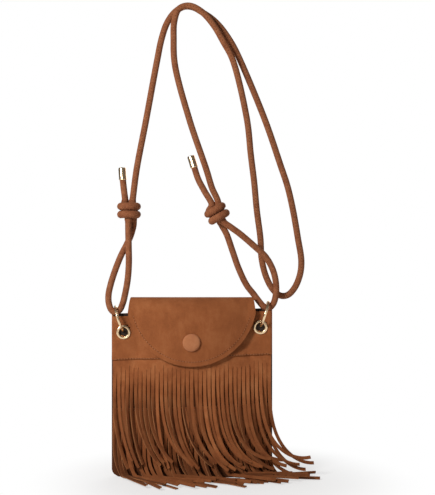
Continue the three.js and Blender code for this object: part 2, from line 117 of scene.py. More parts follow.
RUN_LEFT = 34  # degrees to the right of straight ahead in which the lower strips lie on the floor
RUN_RIGHT = 84
CLUSTER_SPAN = 8  # width of a bunch of strips that hang together
UPPER_BUNCHES = 7  # seeds of the bunches
LOWER_BUNCHES = 3
UPPER_SEED = 11  # seeds of the chance in each tier
LOWER_SEED = 23
UPPER_PAINTED_SHADES = (0, 0.5)  # lowest and highest painted shade of a tier's strips
LOWER_PAINTED_SHADES = (0.2, 0.75)

# Chance in the hang of a strip, as lowest and highest values
UPPER_LENGTH_STRAY = (-4, 4)
LOWER_LENGTH_STRAY = (-8, 4)
LEAN_STRAY = (-8, 8)  # degrees
LEAN_BUNCH = 30  # degrees that a bunch of upper strips leans to either side
SWEEP_LEFT = 1.8  # the higher, the further down an upper strip its lean comes
SWEEP_RIGHT = 2.7
SWEEP_STRAY = (-0.3, 0.3)
UPPER_BULGE = (0, 4)
UPPER_FORWARD = (-1, 8)  # how far a tip comes forward
UPPER_TWIST = (-62, 34)  # degrees
TWIST_SHARE = 0.55  # share of an upper strip's length by which its twist is full
STAND_OFF_SHARE = 0.35  # share of its length by which it stands fully off the panel
RUN_STRAY = (-10, 10)  # degrees
RUN_BUNCH = 40  # degrees that a bunch of lower strips runs to either side
LOWER_CURL = (-4, 22)  # degrees by which a lower strip curves on the floor
LOWER_TWIST = (-60, 40)  # degrees
FLOOR_LIFT = (1.2, 6)  # height at which a lower strip comes to lie
FLOOR_BEND = (46, 78)  # length of the bend in which it does
FLATTEN = (0, 0.6)  # how far it turns flat to the floor
UNTWIST = 0.6  # share of its twist that it loses there

# Flap and snap
FLAP_RADIUS = 64.5
FLAP_CENTRE_HEIGHT = 175.7
FLAP_TOP = 179
FLAP_LINING = 0.8
FLAP_STACK = SUEDE + FIT + FLAP_LINING
FLAP_STAND_OFF = 4.1  # from the band to the flap's inner face
NECK_SEWN = 14  # height of the strip that is sewn to the back
NECK_BACK_HALF = 58
NECK_FRONT_HALF = 63.4
FLAP_COLUMNS = 56
FLAP_ROWS = 36
ARCH_ROWS = 22
SEWN_ROWS = 8
PATCH_LEFT = -130  # degrees round the rim to the lower corners of the flap's mesh
PATCH_RIGHT = -50
FOLD_START = (0, 2.5, FLAP_TOP)  # two places at the neck's fold
FOLD_END = (0, -6.5, FLAP_TOP)
SNAP_HEIGHT = 135
BUTTON_RADIUS = 8.8
BUTTON_HEIGHT = 3
SOCKET_RADIUS = 7
SOCKET_HEIGHT = 2.2
STUD_FLANGE = 1
STUD_PIN_RADIUS = 2.2
STUD_PIN = 1.6
SHANK_RADIUS = 1.6

# Stitches
STITCH = 1.7
STITCH_GAP = 1.1
THREAD_RADIUS = 0.32
PIT_SWELL = 1.2  # a pit's width, as a share of the thread's
FLAP_STITCH_INSET = 4.6
FLAP_STITCH_START = -166  # degrees round the rim
FLAP_STITCH_END = -14
FLAP_STITCH_POINTS = 180
SEAM_END = 2  # how far the front's seams end from its side edges
SEAM_POINTS = 120
TIER_STITCH_DROP = 2.5
BAND_STITCH_RISE = 0.6
NECK_STITCH_INSET = 2.6
NECK_STITCH_POINTS = 100
BEAD_SIDES = 6
# The rings of a bead: place as a share of its length, then rise and width as shares of its radius
BEAD_RINGS = [(-0.5, -0.4, 0.5), (-0.36, 0.35, 0.9), (0, 0.6, 1), (0.36, 0.35, 0.9), (0.5, -0.4, 0.5)]

# Eyelets and rings
EYELET_INSET = 10.8  # from the pouch's side to an eyelet's middle
EYELET_X = POUCH_WIDTH / 2 - EYELET_INSET
EYELET_HEIGHT = 146.6
EYELET_RADIUS = 7.4
EYELET_BORE = 4.3
EYELET_WALL = 0.6
EYELET_FLANGE = 1.2
EYELET_CUT = 1.6  # how far the panels are cut back from the bore
WASHER_GAP = 0.05
WASHER = 0.8 * EYELET_FLANGE
RING_RADIUS = 12.7
RING_WIRE = 1.3
RING_SEAT = 1.2  # from the eyelet's middle up to the middle of the ring's wire in it
RING_LEAN = math.radians(18)
RING_SIDES = 72
WIRE_SIDES = 16
WELD_PLACE = math.radians(40)
WELD_HALF = math.radians(3)
WELD_WIDTH = 0.88  # the wire's width at the weld, as a share of that elsewhere

# Turned metal and shading
TURNED_SIDES = 48
BUTTON_SIDES = 64
METAL_ROUND = 0.18  # width of the rounding on a turned piece's edges
METAL_EDGE = 28  # degrees above which an edge is rounded
MERGE = 0.01  # places nearer than this are one
SHEET_CREASE = 50  # degrees above which an edge is drawn sharp
METAL_CREASE = 40
ROUND_CREASE = 60
BUTTON_CREASE = 75

# Strap
CORD_RADIUS = 3.2
CORD_SIDES = 18
CORD_STEP = 1.8
CURVE_STEP = 0.6  # longest step on a curve before it is spaced evenly
CORD_SEAM = 0.22  # depth of the groove along the rolled cord
KNOT_LEFT = Vector((-63, 0, 265.5))
KNOT_RIGHT = Vector((25, 0, 262.5))
KNOT_RIGHT_TILT = math.radians(-30)
KNOT_TURN_RADIUS = 8.1  # from the knot's axis to the middle of the cord wound round it
KNOT_PITCH = 8
KNOT_SWELL = 1.2  # how much thicker the cord looks where it is pressed together in a knot
SWELL_NEAR = KNOT_TURN_RADIUS + 1.5  # from a knot's middle to where that starts to die out
SWELL_FAR = KNOT_TURN_RADIUS + 4.5
KNOT_START = 205  # degrees round the knot at which its turns start and end
KNOT_END = -420
KNOT_STEP = 24
LOOP_SPREAD = 1.5  # half the distance between a loop's ends inside its knot
LOOP_RISE = 1
LOOP_BEND_TOP = 70  # heights above a loop's lowest place
LOOP_BEND_FOOT = 10
CAP_RADIUS = 3.95
CAP_LENGTH = 12.5
CAP_BORE_DEPTH = 7

# The strap's routes in millimetres. The shoulder cord climbs from the left knot, crosses the hook,
# drops in a spare loop on the right and crosses the hook again to the right knot.
SHOULDER_ROUTE = [
    (-59.5, 0.3, 275.4), (-55.5, 0.6, 306), (-46, 1.2, 356), (-35, 2.4, 416), (-30.5, 3, 438),
    (-25, 3.5, 454), (-17, 3.6, 465), (-8, 3.6, 470.2), (1, 3.6, 469.6), (11, 3.6, 464),
    (20, 3.7, 458), (29, 3.8, 449), (40, 4, 433), (48.5, 4.3, 416), (73.5, 5.5, 356),
    (89, 6.3, 311), (96, 6.8, 290), (101.6, 7.3, 266), (106.5, 7.8, 238), (110, 8, 215),
    (108.6, 8, 201), (103, 8, 187.5), (96, 8, 180.5), (89, 8, 180), (81.5, 8, 186),
    (74.5, 8, 199), (70, 7.8, 217), (68.7, 7, 238), (65, 5, 266), (62.3, 3, 294),
    (58.8, 1, 322), (55, -1, 356), (40.5, -3.4, 416), (31.6, -3.6, 433), (21, -3.6, 451),
    (9, -3.6, 464), (-3, -3.6, 469.4), (-13, -3.6, 466.2), (-17.5, -3.6, 454), (-18.2, -3.5, 436),
    (-17, -3.2, 411), (-2.5, -2, 356), (14.5, -0.8, 306), (20, -0.2, 288), (26, 0.2, 274),
]
LEFT_LOOP_ROUTE = [
    (-63.4, -3.3, 255.6), (-63.3, -3.7, 243), (-63, -3.7, 229), (-62.9, -3, 212), (-64.2, -2, 196),
    (-67, -1.2, 181), (-69.2, -0.7, 172.5), (-72.4, -0.2, 166), (-76.6, 0.2, 163.4),
    (-80.6, 0.5, 166), (-83.2, 0.8, 172.5), (-83.6, 1, 181), (-81.5, 1.6, 191.5),
    (-76.6, 2.4, 207), (-71, 3.2, 221), (-65.3, 3.7, 232.2), (-60.6, 3.7, 243.4), (-58.6, 3.3, 255.6),
]
RIGHT_LOOP_ROUTE = [
    (31.7, -3.4, 254), (39, -3.6, 248.6), (48, -3.7, 242), (62, -3.5, 230), (73.6, -3, 219),
    (81, -2.4, 205.5), (84, -1.8, 191.5), (83.6, -1.2, 180), (81, -0.8, 172), (76.6, -0.2, 168),
    (71.8, 1, 169.4), (67.4, 5, 174.2), (62, 9.4, 181.4), (55, 10.6, 190.4), (47, 9.8, 207),
    (40.6, 7.6, 225), (34.6, 5, 242), (29, 3.4, 252.4),
]
LEFT_TAIL_ROUTE = [(-66.8, -0.5, 275.4), (-67.9, -0.8, 285.5), (-69, -1, 296), (-69.4, -1, 302)]
RIGHT_TAIL_ROUTE = [
    (20.1, -0.3, 270.6), (12.4, -0.6, 285), (6.3, -0.8, 296.6), (2.4, -1, 308.3), (0.7, -1, 313.8),
]

# View, in millimetres: one photo pixel is one millimetre in the bag's middle plane
CAMERA_PLACE = (25.5, -1000, 228.5)
VIEW_HEIGHT = 495
SENSOR = 36

# Studio
FLOOR_SIZE = 6  # in metres
FLOOR_DROP = 0.1  # how far the floor lies below the bag
WORLD_LIGHT = 0.14
SHADOW_CENTRE = (30, -20)  # place on the floor
SHADOW_REACH = 80  # distance from there at which the floor starts to fade to plain white
SHADOW_END = 200
SHADOW_WHITE = 0.6  # share of plain white in the floor at the shadow's middle


def in_row(point):
    return (Vector(point) - HOOK) * MM


def lerp(a, b, share):
    return a + (b - a) * share


def smooth(value, low, high):
    share = min(1, max(0, (value - low) / (high - low)))
    return share * share * (3 - 2 * share)


def linear(hex_colour):
    """An sRGB hex colour as the linear colour that shaders take."""
    parts = [int(hex_colour[i : i + 2], 16) / 255 for i in (1, 3, 5)]
    return tuple(p / 12.92 if p <= 0.04045 else ((p + 0.055) / 1.055) ** 2.4 for p in parts) + (1,)


def node(tree, kind, inputs=None, **settings):
    """Adds a node with its settings, and links or sets its inputs."""
    made = tree.nodes.new(kind)
    for name, value in settings.items():
        setattr(made, name, value)
    for name, value in (inputs or {}).items():
        if isinstance(value, bpy.types.NodeSocket):
            tree.links.new(value, made.inputs[name])
        else:
            made.inputs[name].default_value = value
    return made


def new_material(name):
    material = bpy.data.materials.new(name)
    material.use_nodes = True
    return material, material.node_tree, material.node_tree.nodes["Principled BSDF"]


# Materials, with the sizes of their patterns in millimetres

MOTTLE_SPAN = 16  # patches of the brushed nap
STROKE_SPAN = 5  # streaks left by the brush
STROKE_SLANT = 0.5
STROKE_STRETCH = 0.3  # the pattern's scale along a streak, as a share of that across it
STROKE_DEPTH = 0.6
NAP_SPAN = 1.1  # drawn about three times as coarse as real nap, so that it shows
NAP_DEPTH = 0.3
MOTTLE_PART = 0.62  # how much each of the three gives to the colour
STROKE_PART = 0.24
NAP_PART = 0.14
WEAVE_PITCH = 0.9  # drawn coarser than a real lining's threads, so that it shows
WEAVE_DEPTH = 0.2
WAVE_SCALE = 0.3  # scale of a wave texture that repeats about once in each unit of length
SCRATCH_SPAN = 0.6
CORD_STITCH_PITCH = 3
CORD_STITCH_DEPTH = 0.4
CORD_STITCH_GAP = 0.35  # gap between two stitches, as a share of their pitch
CORD_SEAM_HALF = 0.022  # half the seam's width, as a share of the way round the cord
SHEEN = "#d9a27a"


def brushed_suede(name, deep, middle, light, painted_shade):
    """Split cow suede with a brushed nap: matt, with soft streaks where the nap lies over. A piece's
    shade attribute holds painted shade, which darkens the suede towards the last colour."""
    material, tree, shader = new_material(name)
    place = node(tree, "ShaderNodeTexCoord").outputs["Object"]
    mottle = node(
        tree,
        "ShaderNodeTexNoise",
        {"Vector": place, "Scale": 1 / (MOTTLE_SPAN * MM), "Detail": 5, "Roughness": 0.62},
    )
    slanted = node(
        tree,
        "ShaderNodeMapping",
        {"Vector": place, "Rotation": (0, STROKE_SLANT, 0), "Scale": (1, 1, STROKE_STRETCH)},
    )
    strokes = node(
        tree,
        "ShaderNodeTexNoise",
        {
            "Vector": slanted.outputs["Vector"],
            "Scale": 1 / (STROKE_SPAN * MM),
            "Detail": 3,
            "Distortion": 0.6,
        },
    )
    nap = node(
        tree,
        "ShaderNodeTexNoise",
        {"Vector": place, "Scale": 1 / (NAP_SPAN * MM), "Detail": 3, "Roughness": 0.7},
    )
    patchy = node(
        tree,
        "ShaderNodeMath",
        {0: mottle.outputs["Fac"], 1: MOTTLE_PART},
        operation="MULTIPLY",
    )
    streaked = node(
        tree,
        "ShaderNodeMath",
        {0: strokes.outputs["Fac"], 1: STROKE_PART, 2: patchy.outputs[0]},
        operation="MULTIPLY_ADD",
    )
    grained = node(
        tree,
        "ShaderNodeMath",
        {0: nap.outputs["Fac"], 1: NAP_PART, 2: streaked.outputs[0]},
        operation="MULTIPLY_ADD",
    )
    tone = node(tree, "ShaderNodeValToRGB", {"Fac": grained.outputs[0]})
    ramp = tone.color_ramp
    ramp.elements[0].position = 0.36
    ramp.elements[0].color = linear(deep)
    ramp.elements[1].position = 0.66
    ramp.elements[1].color = linear(light)
    ramp.elements.new(0.5).color = linear(middle)
    # painted shade: the piece's shade attribute mixes the colour towards the dark shade colour
    painted_shade_amount = node(tree, "ShaderNodeAttribute", attribute_name="painted_shade").outputs["Fac"]
    with_painted_shade = node(
        tree,
        "ShaderNodeMix",
        {0: painted_shade_amount, 6: tone.outputs["Color"], 7: linear(painted_shade)},
        data_type="RGBA",
    )
    tree.links.new(with_painted_shade.outputs[2], shader.inputs["Base Color"])
    fine = node(
        tree,
        "ShaderNodeBump",
        {"Height": nap.outputs["Fac"], "Strength": 0.5, "Distance": NAP_DEPTH * MM},
    )
    soft = node(
        tree,
        "ShaderNodeBump",
        {
            "Height": strokes.outputs["Fac"],
            "Strength": 0.25,
            "Distance": STROKE_DEPTH * MM,
            "Normal": fine.outputs["Normal"],
        },
    )
    tree.links.new(soft.outputs["Normal"], shader.inputs["Normal"])
    shader.inputs["Roughness"].default_value = 0.94
    shader.inputs["Specular IOR Level"].default_value = 0.15
    shader.inputs["Sheen Weight"].default_value = 0.22
    shader.inputs["Sheen Roughness"].default_value = 0.45
    shader.inputs["Sheen Tint"].default_value = linear(SHEEN)
    return material


def cut_edge(name, colour, pale):
    """The cut edge or flesh side of suede: raw fibre, rough and matt. The colours given to it can hold
    painted light, as noted where each is made.
    """
    material, tree, shader = new_material(name)
    place = node(tree, "ShaderNodeTexCoord").outputs["Object"]
    fibre = node(
        tree,
        "ShaderNodeTexNoise",
        {"Vector": place, "Scale": 1 / (NAP_SPAN * MM), "Detail": 3},
    )
    tone = node(
        tree,
        "ShaderNodeMix",
        {0: fibre.outputs["Fac"], 6: linear(colour), 7: linear(pale)},
        data_type="RGBA",
    )
    tree.links.new(tone.outputs[2], shader.inputs["Base Color"])
    raised = node(
        tree,
        "ShaderNodeBump",
        {"Height": fibre.outputs["Fac"], "Strength": 0.5, "Distance": NAP_DEPTH * MM},
    )
    tree.links.new(raised.outputs["Normal"], shader.inputs["Normal"])
    shader.inputs["Roughness"].default_value = 0.95
    shader.inputs["Specular IOR Level"].default_value = 0.1
    return material


def rolled_suede():
    """Suede rolled and sewn into a cord: matt, with a stitched seam along its groove."""
    material, tree, shader = new_material("rolled_suede_cord")
    coordinates = node(tree, "ShaderNodeTexCoord")
    place = coordinates.outputs["Object"]
    mottle = node(
        tree,
        "ShaderNodeTexNoise",
        {"Vector": place, "Scale": 1 / (STROKE_SPAN * MM), "Detail": 5, "Roughness": 0.65},
    )
    nap = node(
        tree,
        "ShaderNodeTexNoise",
        {"Vector": place, "Scale": 1 / (NAP_SPAN * MM), "Detail": 3, "Roughness": 0.7},
    )
    tone = node(tree, "ShaderNodeValToRGB", {"Fac": mottle.outputs["Fac"]})
    ramp = tone.color_ramp
    ramp.elements[0].position = 0.32
    ramp.elements[0].color = linear("#7d482e")
    ramp.elements[1].position = 0.68
    ramp.elements[1].color = linear("#9a6242")
    ramp.elements.new(0.5).color = linear("#8d5638")
    split = node(tree, "ShaderNodeSeparateXYZ", {"Vector": coordinates.outputs["UV"]})
    on_seam = node(
        tree,
        "ShaderNodeMath",
        {0: split.outputs["X"], 1: 0.5, 2: CORD_SEAM_HALF},
        operation="COMPARE",
    )
    beat = node(
        tree,
        "ShaderNodeMath",
        {0: split.outputs["Y"], 1: 1 / (CORD_STITCH_PITCH * MM)},
        operation="MULTIPLY",
    )
    phase = node(tree, "ShaderNodeMath", {0: beat.outputs[0]}, operation="FRACT")
    thread = node(
        tree,
        "ShaderNodeMath",
        {0: phase.outputs[0], 1: CORD_STITCH_GAP},
        operation="GREATER_THAN",
    )
    stitch = node(
        tree,
        "ShaderNodeMath",
        {0: on_seam.outputs[0], 1: thread.outputs[0]},
        operation="MULTIPLY",
    )
    seamed = node(
        tree,
        "ShaderNodeMix",
        {0: on_seam.outputs[0], 6: tone.outputs["Color"], 7: linear("#744329")},
        data_type="RGBA",
    )
    sewn = node(
        tree,
        "ShaderNodeMix",
        {0: stitch.outputs[0], 6: seamed.outputs[2], 7: linear("#97603f")},
        data_type="RGBA",
    )
    tree.links.new(sewn.outputs[2], shader.inputs["Base Color"])
    fine = node(
        tree,
        "ShaderNodeBump",
        {"Height": nap.outputs["Fac"], "Strength": 0.5, "Distance": NAP_DEPTH * MM},
    )
    raised = node(
        tree,
        "ShaderNodeBump",
        {
            "Height": stitch.outputs[0],
            "Strength": 0.5,
            "Distance": CORD_STITCH_DEPTH * MM,
            "Normal": fine.outputs["Normal"],
        },
    )
    tree.links.new(raised.outputs["Normal"], shader.inputs["Normal"])
    shader.inputs["Roughness"].default_value = 0.92
    shader.inputs["Specular IOR Level"].default_value = 0.18
    shader.inputs["Sheen Weight"].default_value = 0.2
    shader.inputs["Sheen Roughness"].default_value = 0.45
    shader.inputs["Sheen Tint"].default_value = linear(SHEEN)
    return material


def lining_cloth():
    """Plain dark brown woven lining: two sets of crossed threads."""
    material, tree, shader = new_material("woven_lining_cloth")
    place = node(tree, "ShaderNodeTexCoord").outputs["Object"]
    threads = {"Vector": place, "Scale": WAVE_SCALE / (WEAVE_PITCH * MM), "Distortion": 0.4}
    weft = node(tree, "ShaderNodeTexWave", threads, bands_direction="Z")
    warp = node(tree, "ShaderNodeTexWave", threads, bands_direction="X")
    weave = node(
        tree,
        "ShaderNodeMath",
        {0: weft.outputs["Fac"], 1: warp.outputs["Fac"]},
        operation="MULTIPLY",
    )
    tone = node(
        tree,
        "ShaderNodeMix",
        {0: weave.outputs[0], 6: linear("#1d120d"), 7: linear("#3c2a20")},
        data_type="RGBA",
    )
    tree.links.new(tone.outputs[2], shader.inputs["Base Color"])
    raised = node(
        tree,
        "ShaderNodeBump",
        {"Height": weave.outputs[0], "Strength": 0.5, "Distance": WEAVE_DEPTH * MM},
    )
    tree.links.new(raised.outputs["Normal"], shader.inputs["Normal"])
    shader.inputs["Roughness"].default_value = 0.85
    return material


def pale_gold():
    """Brass plated pale gold and polished: bright, with faint handling marks."""
    material, tree, shader = new_material("polished_pale_gold")
    place = node(tree, "ShaderNodeTexCoord").outputs["Object"]
    marks = node(
        tree,
        "ShaderNodeTexNoise",
        {"Vector": place, "Scale": 1 / (SCRATCH_SPAN * MM), "Detail": 3},
    )
    tone = node(
        tree,
        "ShaderNodeMix",
        {0: marks.outputs["Fac"], 6: linear("#e6c294"), 7: linear("#f6deba")},
        data_type="RGBA",
    )
    tree.links.new(tone.outputs[2], shader.inputs["Base Color"])
    dull = node(
        tree,
        "ShaderNodeMapRange",
        {"Value": marks.outputs["Fac"], "To Min": 0.2, "To Max": 0.34},
    )
    tree.links.new(dull.outputs["Result"], shader.inputs["Roughness"])
    shader.inputs["Metallic"].default_value = 1
    return material


def sewing_thread():
    """Polyester thread a little lighter than the suede, twisted and slightly shiny."""
    material, tree, shader = new_material("tan_sewing_thread")
    place = node(tree, "ShaderNodeTexCoord").outputs["Object"]
    twist = node(tree, "ShaderNodeTexNoise", {"Vector": place, "Scale": 1 / (SCRATCH_SPAN * MM)})
    tone = node(
        tree,
        "ShaderNodeMix",
        {0: twist.outputs["Fac"], 6: linear("#8a4f2c"), 7: linear("#b4784b")},
        data_type="RGBA",
    )
    tree.links.new(tone.outputs[2], shader.inputs["Base Color"])
    shader.inputs["Roughness"].default_value = 0.6
    return material


# the last colour of each suede is the dark brown that its painted shade mixes towards
SUEDE_FACE = brushed_suede("brushed_suede", "#874d2b", "#935530", "#9f613a", "#4a2714")
BUTTON_FACE = brushed_suede("brushed_suede_button", "#a8694a", "#b0714b", "#b97b55", "#4a2714")
FRINGE_FACE = brushed_suede("brushed_suede_fringe", "#854b2a", "#975832", "#a6683f", "#472512")
# the cut edge's pale tone is partly raw fibre and partly a painted highlight of light catching the rim
SUEDE_EDGE = cut_edge("suede_cut_edge_and_rim_highlight", "#8d5430", "#b07a52")
# the flesh side, darker than its own colour as painted shade on the hidden inner sides
SUEDE_BACK = cut_edge("suede_flesh_side_with_painted_shade", "#6d3f26", "#8a5535")
CORD_FACE = rolled_suede()
LINING_FACE = lining_cloth()
GOLD = pale_gold()
THREAD = sewing_thread()
# dark brown for the pits between stitches: painted shade in the needle holes
STITCH_PIT_SHADE = cut_edge("suede_stitch_pit_painted_shade", "#4c2813", "#5e3419")
SUEDE_SIDES = [SUEDE_FACE, SUEDE_EDGE, SUEDE_BACK]
FRINGE_SIDES = [FRINGE_FACE, SUEDE_EDGE, SUEDE_BACK]
LINING_SIDES = [LINING_FACE] * 3


# Building

def new_piece(name, corners, faces, materials):
    """A mesh piece from places in millimetres, with only those that its faces use."""
    mesh = bpy.data.meshes.new(name)
    used = sorted({corner for face in faces for corner in face})
    position = {corner: i for i, corner in enumerate(used)}
    mesh.from_pydata([in_row(corners[c]) for c in used], [], [[position[c] for c in face] for face in faces])
    piece = bpy.data.objects.new(name, mesh)
    bpy.context.scene.collection.objects.link(piece)
    for material in materials:
        mesh.materials.append(material)
    return piece


def apply_modifier(piece, kind, **settings):
    bpy.context.view_layer.objects.active = piece
    modifier = piece.modifiers.new(kind.lower(), kind)
    for name, value in settings.items():
        setattr(modifier, name, value)
    bpy.ops.object.modifier_apply(modifier=modifier.name)


def smooth_faces(piece, degrees):
    bpy.ops.object.select_all(action="DESELECT")
    piece.select_set(True)
    bpy.context.view_layer.objects.active = piece
    bpy.ops.object.shade_smooth_by_angle(angle=math.radians(degrees))
    piece.select_set(False)


def grid_faces(rows, columns, keep):
    """Faces of a grid that look along the column direction crossed with the row direction."""
    faces = []
    for r in range(rows - 1):
        for c in range(columns - 1):
            first = r * columns + c
            if keep(r, c):
                faces.append((first, first + 1, first + 1 + columns, first + columns))
    return faces


def sheet_piece(name, rows, thickness, materials, keep=lambda r, c: True, painted_shades=None):
    """A sheet through rows of places, thickened behind its face. Its cut edge and its other side
    take the second and third materials."""
    faces = grid_faces(len(rows), len(rows[0]), keep)
    corners = [point for row in rows for point in row]
    piece = new_piece(name, corners, faces, materials)
    # painted shade, given for each place, goes to the sheet's shade attribute
    if painted_shades:
        used = sorted({corner for face in faces for corner in face})
        attribute = piece.data.attributes.new("painted_shade", "FLOAT", "POINT")
        every = [painted_shade for row in painted_shades for painted_shade in row]
        attribute.data.foreach_set("value", [every[corner] for corner in used])
    apply_modifier(
        piece,
        "SOLIDIFY",
        thickness=thickness * MM,
        offset=-1,
        use_even_offset=True,
        material_offset_rim=1,
        material_offset=2,
    )
    smooth_faces(piece, SHEET_CREASE)
    return piece


def settle(piece, body, slot, *nodes):
    """The piece moves with a body and stands for CAD nodes."""
    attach(piece, body)
    if nodes:
        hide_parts(*nodes)
    return piece


# Pouch

def half_width(z):
    below = max(0, BOTTOM_CORNER - z)
    return POUCH_WIDTH / 2 - BOTTOM_CORNER + math.sqrt(BOTTOM_CORNER**2 - below**2)


def depth(x, z):
    """Half the depth of the pouch's inside at a place on its front or back."""
    rise = min(1, z / BELLY_HEIGHT)
    low = lerp(BASE_HALF_DEPTH, BELLY_HALF_DEPTH, math.sqrt(1 - (1 - rise) ** 2))
    middle = lerp(low, MOUTH_HALF_DEPTH, smooth(z, BELLY_HEIGHT, POUCH_HEIGHT))
    reach = POUCH_WIDTH / 2 * lerp(1, MOUTH_REACH, smooth(z, PINCH_START, PINCH_END))
    return SEAM_HALF_DEPTH + (middle - SEAM_HALF_DEPTH) * max(0, 1 - (x / reach) ** 2)


def tilted(x, z):
    return z + SIDE_TILT * x * min(1, z / TILT_HEIGHT)


def slack(x, z, seed):
    """Soft waves in a hanging panel, which die out at its side seams."""
    wave = noise.noise(Vector((x / SLACK_SPAN, z / SLACK_SPAN, seed)))
    return SLACK * wave * max(0, 1 - (2 * x / POUCH_WIDTH) ** 4)


def panel_row(side, z, out, seed, columns=SHEET_COLUMNS):
    """One row of places across the pouch's front (-1) or back (+1), turned in at both side seams."""
    half = half_width(z)
    edge = SEAM_HALF_DEPTH + out
    row = []
    for c in range(columns + 1):
        x = lerp(-half, half, c / columns)
        row.append((x, side * (depth(x, z) + out + slack(x, z, seed)), tilted(x, z)))
    for turn in EDGE_TURNS:
        angle = math.radians(turn)
        x = half + EDGE_TURN * math.sin(angle)
        y = side * edge * math.cos(angle)
        row.append((x, y, tilted(half, z)))
        row.insert(0, (-x, y, tilted(-half, z)))
    return row if side < 0 else row[::-1]


def heights(low, high):
    count = max(2, round((high - low) / SHEET_STEP))
    return [lerp(low, high, k / count) for k in range(count + 1)]


def clear_of_eyelets(rows):
    """Says which cells of a panel lie outside the eyelet holes."""
    def keep(r, c):
        x, _, z = rows[r][c]
        gaps = [math.hypot(x - s * EYELET_X, z - eyelet_height(s)) for s in (-1, 1)]
        return min(gaps) > EYELET_BORE + EYELET_CUT
    return keep


def eyelet_height(side):
    return tilted(side * EYELET_X, EYELET_HEIGHT)


def band_out(z):
    """The band's face stands out at its folded lower edge, where it laps the fringe header."""
    return PANEL_OUT + BAND_FLARE * (1 - smooth(z, BAND_SEAM, BAND_SEAM + BAND_FLARE_HEIGHT))


def make_front():
    """The band, which laps the upper tier's header, and the two panels behind the fringe."""
    band = [panel_row(-1, z, band_out(z), BAND_WAVES) for z in heights(BAND_SEAM, POUCH_HEIGHT)]
    piece = sheet_piece("band_suede", band, SUEDE, SUEDE_SIDES, clear_of_eyelets(band))
    settle(piece, "pouch", "suede", "front_band")
    for name, low, high, stands_for in (
        ("middle_suede", TIER_SEAM, BAND_SEAM - FIT, "front_middle_panel"),
        ("lower_suede", FIT, TIER_SEAM - FIT, "front_lower_panel"),
    ):
        rows = [panel_row(-1, z, PANEL_OUT, FRONT_WAVES) for z in heights(low, high)]
        # even painted shade on the panels behind the fringe
        painted_shades = [[PANEL_PAINTED_SHADE] * len(row) for row in rows]
        piece = sheet_piece(name, rows, SUEDE, SUEDE_SIDES, painted_shades=painted_shades)
        settle(piece, "pouch", "suede", stands_for)


def make_back():
    """The back, folded under as the pouch's base."""
    back = [panel_row(1, z, PANEL_OUT, BACK_WAVES) for z in heights(0, POUCH_HEIGHT + BACK_RISE)]
    base = [[(x, lerp(-y, y, share), z) for x, y, z in back[0]] for share in BASE_SHARES]
    rows = base + back
    piece = sheet_piece("back_suede", rows, SUEDE, SUEDE_SIDES, clear_of_eyelets(rows))
    settle(piece, "pouch", "suede", "back_panel")


def make_linings():
    """A cloth lining inside the front and the back, left whole behind the eyelets, where its dark cloth
    fills their bores as painted shade.
    """
    for name, side, top, stands_for in (
        ("front_lining", -1, POUCH_HEIGHT - LINING_TOP, "lining_front"),
        ("back_lining", 1, POUCH_HEIGHT + BACK_RISE - FIT, "lining_back"),
    ):
        rows = []
        for z in heights(LINING_BOTTOM, top):
            half = half_width(z) - FIT
            xs = [lerp(-half, half, c / LINING_COLUMNS) for c in range(LINING_COLUMNS + 1)]
            row = [(x, side * depth(x, z), tilted(x, z)) for x in xs]
            rows.append(row if side < 0 else row[::-1])
        piece = sheet_piece(name, rows, LINING, LINING_SIDES)
        settle(piece, "pouch", "lining_cloth", stands_for)


# Fringe

def hanging_at(x, z):
    half = POUCH_WIDTH / 2
    return depth(min(half, max(-half, x)), max(z, HANG_LEVEL))


def upper_strip(x, top, chance):
    """Places and width directions down one strip of the upper tier, swept to the right."""
    share = x / POUCH_WIDTH + 0.5
    bunch = noise.noise(Vector((x / CLUSTER_SPAN, UPPER_BUNCHES, 0)))
    length = lerp(UPPER_LENGTH_LEFT, UPPER_LENGTH_RIGHT, share**2) + chance.uniform(*UPPER_LENGTH_STRAY)
    tip_lean = lerp(LEAN_LEFT, LEAN_RIGHT, share) + LEAN_BUNCH * bunch + chance.uniform(*LEAN_STRAY)
    power = lerp(SWEEP_LEFT, SWEEP_RIGHT, share) + chance.uniform(*SWEEP_STRAY)
    bulge = chance.uniform(*UPPER_BULGE)
    forward = chance.uniform(*UPPER_FORWARD)
    twist = math.radians(chance.uniform(*UPPER_TWIST))
    z = tilted(x, top)
    step = length / STRIP_ROWS
    places = []
    for k in range(STRIP_ROWS + 1):
        along = k / STRIP_ROWS
        lean = math.radians(tip_lean) * along**power
        stand = UPPER_STAND_OFF * smooth(along, 0, STAND_OFF_SHARE) + bulge * math.sin(math.pi * along)
        stand += forward * along**2
        y = -(hanging_at(x, z) + PANEL_OUT + FIT + FRINGE_SUEDE + stand)
        turn = twist * smooth(along, 0, TWIST_SHARE)
        across = Vector((math.cos(lean) * math.cos(turn), -math.sin(turn), math.sin(lean) * math.cos(turn)))
        places.append((Vector((x, y, z)), across))
        x += step * math.sin(lean)
        z -= step * math.cos(lean)
    return places


